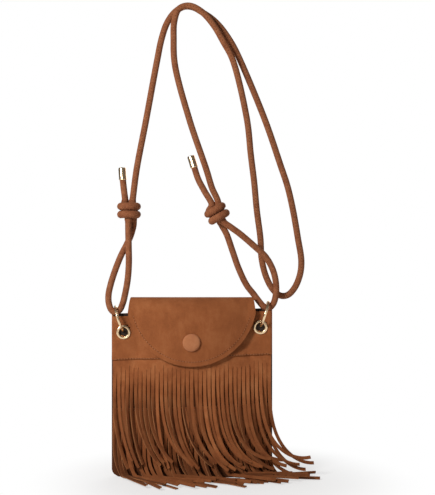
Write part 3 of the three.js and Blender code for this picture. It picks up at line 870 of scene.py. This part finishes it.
def lower_strip(x, top, chance):
    """Places and width directions down one strip of the lower tier, which bends and lies on the floor."""
    share = x / POUCH_WIDTH + 0.5
    bunch = noise.noise(Vector((x / CLUSTER_SPAN, LOWER_BUNCHES, 0)))
    run = lerp(RUN_LEFT, RUN_RIGHT, share) + RUN_BUNCH * bunch + chance.uniform(*RUN_STRAY)
    curl = math.radians(chance.uniform(*LOWER_CURL))
    lift = chance.uniform(*FLOOR_LIFT)
    bend = chance.uniform(*FLOOR_BEND)
    twist = math.radians(chance.uniform(*LOWER_TWIST))
    flatten = chance.uniform(*FLATTEN)
    length = LOWER_LENGTH + chance.uniform(*LOWER_LENGTH_STRAY)
    z = tilted(x, top)
    y = -(hanging_at(x, z) + PANEL_OUT + FIT + FRINGE_SUEDE)
    step = length / STRIP_ROWS
    hang = z - lift - bend / 2
    places = []
    for k in range(STRIP_ROWS + 1):
        along = k * step
        laid = smooth(along, hang, hang + bend)
        pitch = math.pi / 2 * laid
        heading = math.radians(run) + curl * smooth(along, hang, length)
        ahead = Vector((math.sin(heading), -math.cos(heading), 0))
        tangent = ahead * math.sin(pitch) - Vector((0, 0, math.cos(pitch)))
        upright = Vector((0, 0, -1)).rotation_difference(tangent) @ Vector((1, 0, 0))
        flat = Vector((math.cos(heading), math.sin(heading), 0))
        across = upright.lerp(flat, flatten * laid)
        across = (across - tangent * across.dot(tangent)).normalized()
        turn = twist * smooth(along, 0, hang) * (1 - UNTWIST * laid)
        across = Matrix.Rotation(turn, 3, tangent) @ across
        places.append((Vector((x, y, max(z, lift))), across))
        x += step * tangent.x
        y += step * tangent.y
        z += step * tangent.z
    return places


def make_fringe(name, seam, strip, seed, painted_shade_range, stands_for):
    """A sewn header cut into strips, each swept, twisted and given its own painted shade, which grows in
    below the header.
    """
    chance = random.Random(seed)
    pitch = POUCH_WIDTH / STRIP_COUNT
    edges = []
    strip_painted_shades = []
    for i in range(STRIP_COUNT):
        left = -POUCH_WIDTH / 2 + i * pitch
        edges += [left + SLIT / 2, left + pitch / 2, left + pitch - SLIT / 2]
        # a random amount of painted shade for each strip, from the tier's range
        strip_painted_shades += [chance.uniform(*painted_shade_range)] * STRIP_COLUMNS
    rows = []
    for r in range(HEADER_ROWS):
        z = seam - HEADER * r / HEADER_ROWS
        rows.append([(x, -(depth(x, z) + PANEL_OUT + FIT + FRINGE_SUEDE), tilted(x, z)) for x in edges])
    ends = zip(edges[::STRIP_COLUMNS], edges[STRIP_COLUMNS - 1 :: STRIP_COLUMNS])
    strips = [strip((left + right) / 2, seam - HEADER, chance) for left, right in ends]
    half = (pitch - SLIT) / 2
    for k in range(STRIP_ROWS + 1):
        loose = smooth(k, 0, NARROWING_ROWS)
        reach = half * lerp(1, STRIP_SHRINK, loose)
        row = []
        for places in strips:
            middle, across = places[k]
            along = places[min(k + 1, STRIP_ROWS)][0] - places[max(k - 1, 0)][0]
            out = along.cross(across).normalized()
            row += [middle - across * reach, middle + out * (STRIP_CUP * loose), middle + across * reach]
        rows.append([(x, y, max(z, FRINGE_SUEDE)) for x, y, z in row])
    slit_start = [chance.randint(SLIT_ROW, HEADER_ROWS) for _ in range(STRIP_COUNT)]
    painted_shade_amount = [smooth(r, HEADER_ROWS, HEADER_ROWS + PAINTED_SHADE_ROWS) for r in range(len(rows))]
    painted_shades = [[painted_shade * part for painted_shade in strip_painted_shades] for part in painted_shade_amount]
    last = len(rows) - 2

    def uncut(r, c):
        """Says which cells are left: all in a strip, and between strips those above the slit."""
        strip_number, column = divmod(c, STRIP_COLUMNS)
        return column < STRIP_COLUMNS - 1 or last - r < slit_start[strip_number]

    piece = sheet_piece(name, rows[::-1], FRINGE_SUEDE, FRINGE_SIDES, uncut, painted_shades[::-1])
    settle(piece, "pouch", "suede", stands_for)


# Flap

def flap_inner(x):
    return depth(x, SNAP_HEIGHT - SOCKET_RADIUS) + PANEL_OUT + FLAP_STAND_OFF


NECK_RISE = (flap_inner(0) + depth(0, POUCH_HEIGHT) + PANEL_OUT + FIT) / 2
FOLD_HEIGHT = FLAP_TOP - NECK_RISE - FLAP_STACK


def on_rim(degrees, inset=0):
    angle = math.radians(degrees)
    reach = FLAP_RADIUS - inset
    return Vector((reach * math.cos(angle), FLAP_CENTRE_HEIGHT + reach * math.sin(angle)))


def flap_place(u, v):
    """A place (x, z) in the round flap, u across and v down, patched between its fold and its rim."""
    corner = math.degrees(math.asin((FLAP_CENTRE_HEIGHT - FOLD_HEIGHT) / FLAP_RADIUS))
    top = Vector((lerp(-1, 1, u) * on_rim(-corner).x, FOLD_HEIGHT))
    bottom = on_rim(lerp(PATCH_LEFT, PATCH_RIGHT, u))
    left = on_rim(lerp(-180 + corner, PATCH_LEFT, v))
    right = on_rim(lerp(-corner, PATCH_RIGHT, v))
    ends = on_rim(-180 + corner) * (1 - u) * (1 - v) + on_rim(-corner) * u * (1 - v)
    ends += on_rim(PATCH_LEFT) * (1 - u) * v + on_rim(PATCH_RIGHT) * u * v
    return top * (1 - v) + bottom * v + left * (1 - u) + right * u - ends


def flap_rows(out):
    """Rows from the strip sewn to the back, over the mouth and down to the rim, at a distance out
    from the flap's inner face."""
    rows = []
    shares = [c / FLAP_COLUMNS for c in range(FLAP_COLUMNS + 1)]
    for r in range(SEWN_ROWS + ARCH_ROWS):
        sewn = min(1, r / SEWN_ROWS)
        angle = math.pi * max(0, r - SEWN_ROWS) / ARCH_ROWS
        half = lerp(NECK_BACK_HALF, NECK_FRONT_HALF, angle / math.pi)
        height = lerp(POUCH_HEIGHT - NECK_SEWN, FOLD_HEIGHT, sewn)
        row = []
        for u in shares:
            x = lerp(-half, half, u)
            back = depth(x, min(height, POUCH_HEIGHT)) + PANEL_OUT + FIT
            front = flap_inner(x)
            y = (back - front) / 2 + ((back + front) / 2 + out) * math.cos(angle)
            row.append((x, y, height + (NECK_RISE + out) * math.sin(angle)))
        rows.append(row)
    for r in range(FLAP_ROWS + 1):
        row = []
        for u in shares:
            x, z = flap_place(u, r / FLAP_ROWS)
            wave = slack(x, z, FLAP_WAVES)
            row.append((x, -(flap_inner(x) + out + wave), z))
        rows.append(row)
    return [row[::-1] for row in rows]


def make_flap():
    """The flap with its neck, its lining and the stitching round its rim."""
    suede = sheet_piece("flap_suede", flap_rows(FLAP_STACK), SUEDE, SUEDE_SIDES)
    cloth = sheet_piece("flap_cloth", flap_rows(FLAP_LINING), FLAP_LINING, LINING_SIDES)
    for piece, slot, nodes in (
        (suede, "suede", ("flap", "flap_neck")),
        (cloth, "lining_cloth", ("flap_lining",)),
    ):
        in_row(FOLD_START)
        in_row(FOLD_END)
        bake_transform(piece)
        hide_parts(*nodes)
    rim = []
    for k in range(FLAP_STITCH_POINTS + 1):
        degrees = lerp(FLAP_STITCH_START, FLAP_STITCH_END, k / FLAP_STITCH_POINTS)
        x, z = on_rim(degrees, FLAP_STITCH_INSET)
        rim.append(Vector((x, -(flap_inner(x) + FLAP_STACK + slack(x, z, FLAP_WAVES)), z)))
    settle(stitch_row("flap_stitches", rim, Vector((0, -1, 0))), "flap", "suede")


# Stitches

def add_bead(corners, faces, middle, along, out, length, radius, lift):
    """Adds a short bead along a line, whose ends go into the leather."""
    side = along.cross(out).normalized()
    first = len(corners)
    for shift, rise, width in BEAD_RINGS:
        ring = middle + along * (shift * length) + out * (rise * radius + lift)
        for i in range(BEAD_SIDES):
            angle = 2 * math.pi * i / BEAD_SIDES
            corners.append(ring + (side * math.cos(angle) + out * math.sin(angle)) * (radius * width))
    last = first + (len(BEAD_RINGS) - 1) * BEAD_SIDES
    for low in range(first, last, BEAD_SIDES):
        high = low + BEAD_SIDES
        for i in range(BEAD_SIDES):
            j = (i + 1) % BEAD_SIDES
            faces.append((low + j, low + i, high + i, high + j))
    faces.append(tuple(first + i for i in range(BEAD_SIDES)))
    faces.append(tuple(last + i for i in reversed(range(BEAD_SIDES))))


def stitch_row(name, line, out):
    """Stitches along a line of places: beads of thread, and between them low dark beads of painted shade for
    the pits they pull down.
    """
    corners = []
    faces = []
    lengths = [0]
    for a, b in zip(line, line[1:]):
        lengths.append(lengths[-1] + (b - a).length)
    count = int(lengths[-1] / (STITCH + STITCH_GAP))
    pitch = lengths[-1] / count
    bead_faces = []
    for s in range(2 * count - 1):
        at = (s + 1) * pitch / 2
        k = max(i for i in range(len(line) - 1) if lengths[i] <= at)
        along = (line[k + 1] - line[k]).normalized()
        middle = line[k] + along * (at - lengths[k])
        before = len(faces)
        if s % 2:
            pit = THREAD_RADIUS * PIT_SWELL
            add_bead(corners, faces, middle, along, out, STITCH_GAP, pit, -THREAD_RADIUS)
        else:
            add_bead(corners, faces, middle, along, out, STITCH, THREAD_RADIUS, 0)
        bead_faces += [s % 2] * (len(faces) - before)
    piece = new_piece(name, corners, faces, [THREAD, STITCH_PIT_SHADE])
    piece.data.polygons.foreach_set("material_index", bead_faces)
    smooth_faces(piece, ROUND_CREASE)
    return piece


def make_seams():
    """Stitching on the lower tier's header, along the band's fold and on the flap's sewn strip."""
    half = POUCH_WIDTH / 2 - SEAM_END
    xs = [lerp(-half, half, k / SEAM_POINTS) for k in range(SEAM_POINTS + 1)]
    z = TIER_SEAM - TIER_STITCH_DROP
    out = PANEL_OUT + FIT + FRINGE_SUEDE
    tier = [Vector((x, -(depth(x, z) + out), tilted(x, z))) for x in xs]
    z = BAND_SEAM + BAND_STITCH_RISE
    out = band_out(z)
    band = [Vector((x, -(depth(x, z) + out + slack(x, z, BAND_WAVES)), tilted(x, z))) for x in xs]
    half = NECK_BACK_HALF - NECK_STITCH_INSET
    xs = [lerp(half, -half, k / NECK_STITCH_POINTS) for k in range(NECK_STITCH_POINTS + 1)]
    z = POUCH_HEIGHT - NECK_SEWN + NECK_STITCH_INSET
    out = PANEL_OUT + FIT + FLAP_STACK
    neck = [Vector((x, depth(x, z) + out, z)) for x in xs]
    for name, line, facing in (
        ("tier_stitches", tier, -1),
        ("band_stitches", band, -1),
        ("neck_stitches", neck, 1),
    ):
        settle(stitch_row(name, line, Vector((0, facing, 0))), "pouch", "suede")


# Turned metal

def turned(name, profile, material, closed, sides=TURNED_SIDES):
    """A turned piece about Z: a circle drawn out ring by ring through (radius, height) pairs in
    millimetres. A closed profile ends where it starts, and an open one is filled at both ends."""
    bpy.ops.object.select_all(action="DESELECT")
    radius, height = profile[0]
    bpy.ops.mesh.primitive_circle_add(vertices=sides, radius=radius * MM, location=(0, 0, 0))
    piece = bpy.context.object
    piece.name = name
    bpy.ops.object.mode_set(mode="EDIT")
    bpy.ops.mesh.select_all(action="SELECT")
    bpy.ops.transform.translate(value=(0, 0, height * MM))
    for (r0, h0), (r1, h1) in zip(profile, profile[1:]):
        bpy.ops.mesh.extrude_region_move()
        bpy.ops.transform.translate(value=(0, 0, (h1 - h0) * MM))
        bpy.ops.transform.resize(value=(r1 / r0, r1 / r0, 1), center_override=(0, 0, h1 * MM))
    bpy.ops.mesh.select_all(action="SELECT")
    if closed:
        bpy.ops.mesh.remove_doubles(threshold=MERGE * MM)
    else:
        bpy.ops.mesh.fill_holes(sides=0)
    bpy.ops.mesh.select_all(action="SELECT")
    bpy.ops.mesh.normals_make_consistent(inside=False)
    bpy.ops.object.mode_set(mode="OBJECT")
    apply_modifier(
        piece,
        "BEVEL",
        width=METAL_ROUND * MM,
        segments=2,
        limit_method="ANGLE",
        angle_limit=math.radians(METAL_EDGE),
    )
    piece.data.materials.append(material)
    smooth_faces(piece, METAL_CREASE)
    return piece


def carry(piece, turn, place):
    """Puts a piece that was made at the origin in its place, in its mesh."""
    piece.data.transform(Matrix.Translation(in_row(place)) @ turn)
    piece.data.update()
    return piece


FACE_FRONT = Matrix.Rotation(math.radians(90), 4, "X")  # turns a piece's +Z to the bag's front


# Distances in front of the pouch's middle plane at which the snap's pieces sit
SOCKET_BACK = depth(0, SNAP_HEIGHT - SOCKET_RADIUS) + PANEL_OUT + FIT
SOCKET_FACE = SOCKET_BACK + SOCKET_HEIGHT
STUD_FACE = SOCKET_FACE + FIT
BUTTON_SEAT = flap_inner(0) + FLAP_STACK + FIT


def make_button():
    """A suede-covered button on the flap, from its back edge over the crown."""
    button = turned(
        "button_suede",
        [
            (BUTTON_RADIUS - 0.5, BUTTON_SEAT),
            (BUTTON_RADIUS, BUTTON_SEAT + 0.8),
            (BUTTON_RADIUS - 0.15, BUTTON_SEAT + 1.5),
            (BUTTON_RADIUS - 0.8, BUTTON_SEAT + 2.2),
            (BUTTON_RADIUS - 2.2, BUTTON_SEAT + 2.7),
            (BUTTON_RADIUS - 4.4, BUTTON_SEAT + 2.9),
            (1.2, BUTTON_SEAT + BUTTON_HEIGHT),
        ],
        BUTTON_FACE,
        False,
        BUTTON_SIDES,
    )
    smooth_faces(button, BUTTON_CREASE)
    settle(carry(button, FACE_FRONT, (0, 0, SNAP_HEIGHT)), "flap", "suede", "snap_button")


def make_socket():
    """The snap's socket on the band, from its well round to the shank in the suede."""
    socket = turned(
        "socket_gold",
        [
            (STUD_PIN_RADIUS + FIT, SOCKET_FACE - STUD_PIN - FIT),
            (STUD_PIN_RADIUS + FIT, SOCKET_FACE),
            (SOCKET_RADIUS - 1.2, SOCKET_FACE),
            (SOCKET_RADIUS, SOCKET_FACE - 0.7),
            (SOCKET_RADIUS, SOCKET_BACK),
            (SHANK_RADIUS, SOCKET_BACK),
            (SHANK_RADIUS, depth(0, SNAP_HEIGHT) + FIT),
        ],
        GOLD,
        False,
    )
    settle(carry(socket, FACE_FRONT, (0, 0, SNAP_HEIGHT)), "pouch", "pale_gold", "snap_socket")


def make_stud():
    """The snap's stud under the flap, from its pin round to the shank in the button."""
    stud = turned(
        "stud_gold",
        [
            (STUD_PIN_RADIUS - 0.4, STUD_FACE - FIT - STUD_PIN),
            (STUD_PIN_RADIUS, STUD_FACE - FIT - STUD_PIN + 0.5),
            (STUD_PIN_RADIUS, STUD_FACE),
            (SOCKET_RADIUS, STUD_FACE),
            (SOCKET_RADIUS, STUD_FACE + STUD_FLANGE),
            (SHANK_RADIUS, STUD_FACE + STUD_FLANGE),
            (SHANK_RADIUS, BUTTON_SEAT - FIT),
        ],
        GOLD,
        False,
    )
    settle(carry(stud, FACE_FRONT, (0, 0, SNAP_HEIGHT)), "flap", "pale_gold", "snap_stud")


EYELET_FACE = SEAM_HALF_DEPTH + PANEL_OUT + FIT  # half the thickness that an eyelet clamps
BARREL = EYELET_BORE + EYELET_WALL


def eyelet(name):
    """A barrel with a rolled flange in front."""
    back = -EYELET_FACE - EYELET_FLANGE
    return turned(
        "eyelet_gold_" + name,
        [
            (EYELET_BORE, back),
            (EYELET_BORE, EYELET_FACE),
            (EYELET_BORE + 0.25, EYELET_FACE + 0.75 * EYELET_FLANGE),
            (EYELET_BORE + 1, EYELET_FACE + EYELET_FLANGE + 0.25),
            (EYELET_RADIUS - 1.3, EYELET_FACE + EYELET_FLANGE + 0.1),
            (EYELET_RADIUS - 0.4, EYELET_FACE + 0.7 * EYELET_FLANGE),
            (EYELET_RADIUS, EYELET_FACE + 0.2),
            (EYELET_RADIUS - 0.1, EYELET_FACE - 0.2),
            (BARREL, EYELET_FACE - 0.2),
            (BARREL, back),
            (EYELET_BORE, back),
        ],
        GOLD,
        True,
    )


def washer(name):
    """The washer that holds an eyelet's barrel behind."""
    return turned(
        "washer_gold_" + name,
        [
            (BARREL + WASHER_GAP, -EYELET_FACE),
            (EYELET_RADIUS, -EYELET_FACE),
            (EYELET_RADIUS - 0.4, -EYELET_FACE - WASHER),
            (BARREL + WASHER_GAP, -EYELET_FACE - WASHER),
            (BARREL + WASHER_GAP, -EYELET_FACE),
        ],
        GOLD,
        True,
    )


def wire_ring(name):
    """A bent and welded wire ring, with the weld as a slightly narrower place on its upper back."""
    bpy.ops.object.select_all(action="DESELECT")
    bpy.ops.mesh.primitive_torus_add(
        major_radius=RING_RADIUS * MM,
        minor_radius=RING_WIRE * MM,
        major_segments=RING_SIDES,
        minor_segments=WIRE_SIDES,
        rotation=(0, math.radians(90), 0),
        location=(0, 0, (RING_SEAT + RING_RADIUS) * MM),
    )
    ring = bpy.context.object
    ring.name = "ring_gold_" + name
    bpy.ops.object.transform_apply(location=True, rotation=True, scale=True)
    centre = Vector((0, 0, (RING_SEAT + RING_RADIUS) * MM))
    for vertex in ring.data.vertices:
        spoke = vertex.co - centre
        angle = math.atan2(spoke.z, spoke.y)
        wire = centre + Vector((0, math.cos(angle), math.sin(angle))) * (RING_RADIUS * MM)
        if abs(angle - WELD_PLACE) < WELD_HALF:
            vertex.co = wire + (vertex.co - wire) * WELD_WIDTH
    ring.data.materials.append(GOLD)
    smooth_faces(ring, ROUND_CREASE)
    return ring


def make_corners():
    """An eyelet, its washer and a ring at each top corner."""
    for name, side in (("left", -1), ("right", 1)):
        middle = (side * EYELET_X, 0, eyelet_height(side))
        settle(carry(eyelet(name), FACE_FRONT, middle), "pouch", "pale_gold", "eyelet_" + name)
        settle(carry(washer(name), FACE_FRONT, middle), "pouch", "pale_gold", "eyelet_washer_" + name)
        lean = Matrix.Rotation(side * RING_LEAN, 4, "Y")
        settle(carry(wire_ring(name), lean, middle), "ring_" + name, "pale_gold", "ring_" + name)


# Strap

def through(points, step):
    """Evenly spaced places on one smooth curve through the points."""
    knots = [Vector(p) for p in points]
    ends = [knots[0] * 2 - knots[1], *knots, knots[-1] * 2 - knots[-2]]
    dense = []
    for a, b, c, d in zip(ends, ends[1:], ends[2:], ends[3:]):
        tangent_b = centripetal_tangent(a, b, c, b, c)
        tangent_c = centripetal_tangent(b, c, d, b, c)
        count = max(4, math.ceil((c - b).length / CURVE_STEP))
        for k in range(count):
            t = k / count
            dense.append(
                b * (2 * t**3 - 3 * t**2 + 1)
                + tangent_b * (t**3 - 2 * t**2 + t)
                + c * (3 * t**2 - 2 * t**3)
                + tangent_c * (t**3 - t**2)
            )
    dense.append(knots[-1])
    lengths = [0]
    for a, b in zip(dense, dense[1:]):
        lengths.append(lengths[-1] + (b - a).length)
    count = round(lengths[-1] / step)
    spaced = []
    k = 0
    for i in range(count + 1):
        at = lengths[-1] * i / count
        while k < len(dense) - 2 and lengths[k + 1] < at:
            k += 1
        span = lengths[k + 1] - lengths[k]
        spaced.append(dense[k].lerp(dense[k + 1], min(1, (at - lengths[k]) / span)))
    return spaced


def centripetal_tangent(before, at, after, start, end):
    """The curve's direction at a point, scaled to the stretch from start to end."""
    gap_in = math.sqrt((at - before).length)
    gap_out = math.sqrt((after - at).length)
    span = math.sqrt((end - start).length)
    slope = (at - before) / gap_in - (after - before) / (gap_in + gap_out) + (after - at) / gap_out
    return slope * span


def knot_turns(centre, tilt):
    """The cord's route in a knot from its tail to its standing part: two turns round the axis, level
    in front and dropping behind, then up through the middle."""
    level = Vector((math.cos(tilt), 0, -math.sin(tilt)))
    up = Vector((math.sin(tilt), 0, math.cos(tilt)))
    local = [(-5, 3.4, KNOT_PITCH / 2 + 2.4)]
    for degrees in range(KNOT_START, KNOT_END, -KNOT_STEP):
        angle = math.radians(degrees)
        drop = smooth(-degrees, 0, 180) * KNOT_PITCH
        x = KNOT_TURN_RADIUS * math.cos(angle)
        y = -KNOT_TURN_RADIUS * math.sin(angle)
        local.append((x, y, KNOT_PITCH / 2 - drop))
    local += [(1.5, 3, -KNOT_PITCH / 2 + 0.6), (1, 0.8, 0), (2.4, 0.4, KNOT_PITCH / 2)]
    return [centre + level * x + Vector((0, y, 0)) + up * z for x, y, z in local]


def cord_piece(name, path):
    """A round cord along a path, with a shallow seam groove, and its length along V."""
    turns = len(path)
    tangents = [(path[min(i + 1, turns - 1)] - path[max(i - 1, 0)]).normalized() for i in range(turns)]
    side = tangents[0].orthogonal().normalized()
    corners = []
    for i, (point, tangent) in enumerate(zip(path, tangents)):
        if i:
            side = tangents[i - 1].rotation_difference(tangent) @ side
        side = (side - tangent * side.dot(tangent)).normalized()
        other = tangent.cross(side)
        near = min((point - knot).length for knot in (KNOT_LEFT, KNOT_RIGHT))
        swell = lerp(KNOT_SWELL, 1, smooth(near, SWELL_NEAR, SWELL_FAR))
        for k in range(CORD_SIDES):
            angle = 2 * math.pi * k / CORD_SIDES
            radius = CORD_RADIUS - (CORD_SEAM if k == CORD_SIDES // 2 else 0)
            corners.append(point + (side * math.cos(angle) + other * math.sin(angle)) * radius * swell)
    faces = []
    marks = []
    step = (path[1] - path[0]).length * MM
    for i in range(turns - 1):
        for k in range(CORD_SIDES):
            n = (k + 1) % CORD_SIDES
            low, high = i * CORD_SIDES, (i + 1) * CORD_SIDES
            faces.append((low + k, low + n, high + n, high + k))
            u0, u1 = k / CORD_SIDES, (k + 1) / CORD_SIDES
            v0, v1 = i * step, (i + 1) * step
            marks += [(u0, v0), (u1, v0), (u1, v1), (u0, v1)]
    for first, order in ((0, reversed(range(CORD_SIDES))), ((turns - 1) * CORD_SIDES, range(CORD_SIDES))):
        faces.append(tuple(first + k for k in order))
        marks += [(0, 0)] * CORD_SIDES
    piece = new_piece(name, corners, faces, [CORD_FACE])
    layer = piece.data.uv_layers.new(name="cord")
    for loop, mark in zip(layer.data, marks):
        loop.uv = mark
    smooth_faces(piece, ROUND_CREASE)
    return piece


def make_strap():
    """The strap's one cord, split at the knots: the shoulder stretch with both knots and tails, and
    a loop through each ring."""
    caps = [make_cap(n, r) for n, r in (("left", LEFT_TAIL_ROUTE), ("right", RIGHT_TAIL_ROUTE))]
    route = LEFT_TAIL_ROUTE[::-1] + knot_turns(KNOT_LEFT, 0) + SHOULDER_ROUTE
    route += knot_turns(KNOT_RIGHT, KNOT_RIGHT_TILT)[::-1] + RIGHT_TAIL_ROUTE
    path = through(route, CORD_STEP)
    strap = cord_piece("strap_cord", path)
    settle(strap, "pouch", "suede_cord", "shoulder_cord", "tail_left", "tail_right")
    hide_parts("knot_left", "knot_right")
    in_row(path[0])
    [in_row(p) for p in path]
    for name, route, knot in (("left", LEFT_LOOP_ROUTE, KNOT_LEFT), ("right", RIGHT_LOOP_ROUTE, KNOT_RIGHT)):
        inside = [knot + Vector((0, y, LOOP_RISE)) for y in (-LOOP_SPREAD, LOOP_SPREAD)]
        path = through([inside[0], *route, inside[1]], CORD_STEP)
        loop = cord_piece("loop_cord_" + name, path)
        lowest = min(path, key=lambda p: p.z)
        in_row((lowest.x, 0, lowest.z + LOOP_BEND_TOP))
        in_row((lowest.x, 0, lowest.z + LOOP_BEND_FOOT))
        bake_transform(loop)
        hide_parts("loop_" + name)
        in_row(path[0])
        [in_row(p) for p in path]


def make_cap(name, route):
    """A drawn metal cap on a tail's end, with a rolled mouth and a domed top."""
    cap = turned(
        "cap_gold_" + name,
        [
            (CORD_RADIUS + 0.05, CAP_BORE_DEPTH),
            (CORD_RADIUS + 0.05, 0.2),
            (CORD_RADIUS + 0.3, 0),
            (CAP_RADIUS - 0.1, 0),
            (CAP_RADIUS, 0.3),
            (CAP_RADIUS, 1),
            (CAP_RADIUS - 0.15, 1.3),
            (CAP_RADIUS - 0.15, CAP_LENGTH - 1.2),
            (CAP_RADIUS - 0.5, CAP_LENGTH - 0.5),
            (CAP_RADIUS - 1.4, CAP_LENGTH - 0.1),
            (0.6, CAP_LENGTH),
        ],
        GOLD,
        False,
    )
    mouth, end = Vector(route[-2]), Vector(route[-1])
    turn = (end - mouth).to_track_quat("Z", "Y").to_matrix().to_4x4()
    return settle(carry(cap, turn, mouth), "pouch", "pale_gold", "cap_" + name)


# Studio

def floor_material():
    """Matt white studio floor that keeps the bag's shadow and fades to plain white around it."""
    material, tree, shader = new_material("white_studio_floor")
    shader.inputs["Base Color"].default_value = linear("#f2f0ee")
    shader.inputs["Roughness"].default_value = 0.9
    shader.inputs["Specular IOR Level"].default_value = 0.0
    rays = node(tree, "ShaderNodeLightPath").outputs
    seen = node(
        tree,
        "ShaderNodeMath",
        {0: rays["Is Camera Ray"], 1: rays["Is Glossy Ray"]},
        operation="MAXIMUM",
    )
    shown = node(
        tree,
        "ShaderNodeMath",
        {0: seen.outputs[0], 1: rays["Is Transmission Ray"]},
        operation="MAXIMUM",
    )
    centred = node(
        tree,
        "ShaderNodeMapping",
        {
            "Vector": node(tree, "ShaderNodeTexCoord").outputs["Object"],
            "Location": (-SHADOW_CENTRE[0] * MM, -SHADOW_CENTRE[1] * MM, 0),
            "Scale": (1, 1, 0),
        },
    )
    away = node(tree, "ShaderNodeVectorMath", {0: centred.outputs["Vector"]}, operation="LENGTH")
    fade = node(
        tree,
        "ShaderNodeMapRange",
        {
            "Value": away.outputs["Value"],
            "From Min": SHADOW_REACH * MM,
            "From Max": SHADOW_END * MM,
            "To Min": SHADOW_WHITE,
            "To Max": 1,
        },
        interpolation_type="SMOOTHSTEP",
    )
    amount = node(
        tree,
        "ShaderNodeMath",
        {0: fade.outputs["Result"], 1: shown.outputs[0]},
        operation="MULTIPLY",
    )
    glow = node(tree, "ShaderNodeEmission", {"Color": (1, 1, 1, 1), "Strength": 1})
    mixed = node(
        tree,
        "ShaderNodeMixShader",
        {0: amount.outputs[0], 1: shader.outputs["BSDF"], 2: glow.outputs["Emission"]},
    )
    tree.links.new(mixed.outputs["Shader"], tree.nodes["Material Output"].inputs["Surface"])
    return material


def white_world(strength):
    """Soft light from all round that shows as plain white behind the bag."""
    world = bpy.data.worlds.new("white_studio")
    world.use_nodes = True
    tree = world.node_tree
    rays = node(tree, "ShaderNodeLightPath").outputs
    seen = node(
        tree,
        "ShaderNodeMath",
        {0: rays["Is Camera Ray"], 1: rays["Is Transmission Ray"]},
        operation="MAXIMUM",
    )
    level = node(tree, "ShaderNodeMapRange", {"Value": seen.outputs[0], "To Min": strength, "To Max": 1})
    background = tree.nodes["Background"]
    background.inputs["Color"].default_value = (1, 1, 1, 1)
    tree.links.new(level.outputs["Result"], background.inputs["Strength"])
    bpy.context.scene.world = world


def soft_box(name, place, target, size, watts):
    """A square lamp at a place, turned to a target. Its size is in metres."""
    lamp = bpy.data.lights.new(name, "AREA")
    lamp.shape = "SQUARE"
    lamp.size = size
    lamp.energy = watts
    box = bpy.data.objects.new(name, lamp)
    bpy.context.scene.collection.objects.link(box)
    box.location = in_row(place)
    box.rotation_euler = (in_row(target) - box.location).to_track_quat("-Z", "Y").to_euler()


def make_studio():
    """White floor and surround, a key lamp on the left, weak fill, a lamp behind, and the camera."""
    bpy.ops.object.select_all(action="DESELECT")
    bpy.ops.mesh.primitive_plane_add(size=FLOOR_SIZE, location=in_row((0, 0, -FLOOR_DROP)))
    floor = bpy.context.object
    floor.name = "floor"
    floor.data.materials.append(floor_material())
    white_world(WORLD_LIGHT)
    soft_box("key", (-560, -740, 640), (0, 0, 120), 0.25, 8.4)
    soft_box("fill", (700, -700, 300), (0, 0, 150), 0.9, 0.6)
    soft_box("back", (300, 900, 500), (0, 0, 150), 0.9, 5)
    camera = bpy.data.objects.new("camera", bpy.data.cameras.new("camera"))
    bpy.context.scene.collection.objects.link(camera)
    camera.location = in_row(CAMERA_PLACE)
    camera.rotation_euler = (math.radians(90), 0, 0)
    camera.data.sensor_width = SENSOR
    camera.data.lens = SENSOR * -CAMERA_PLACE[1] / VIEW_HEIGHT
    bpy.context.scene.camera = camera
    bpy.context.scene.view_settings.view_transform = "Standard"


make_studio()
make_strap()
make_front()
make_back()
make_linings()
make_fringe(
    "upper_fringe_suede",
    BAND_SEAM + BAND_LAP,
    upper_strip,
    UPPER_SEED,
    UPPER_PAINTED_SHADES,
    "upper_fringe",
)
make_fringe(
    "lower_fringe_suede",
    TIER_SEAM - FIT,
    lower_strip,
    LOWER_SEED,
    LOWER_PAINTED_SHADES,
    "lower_fringe",
)
make_flap()
make_seams()
make_button()
make_socket()
make_stud()
make_corners()
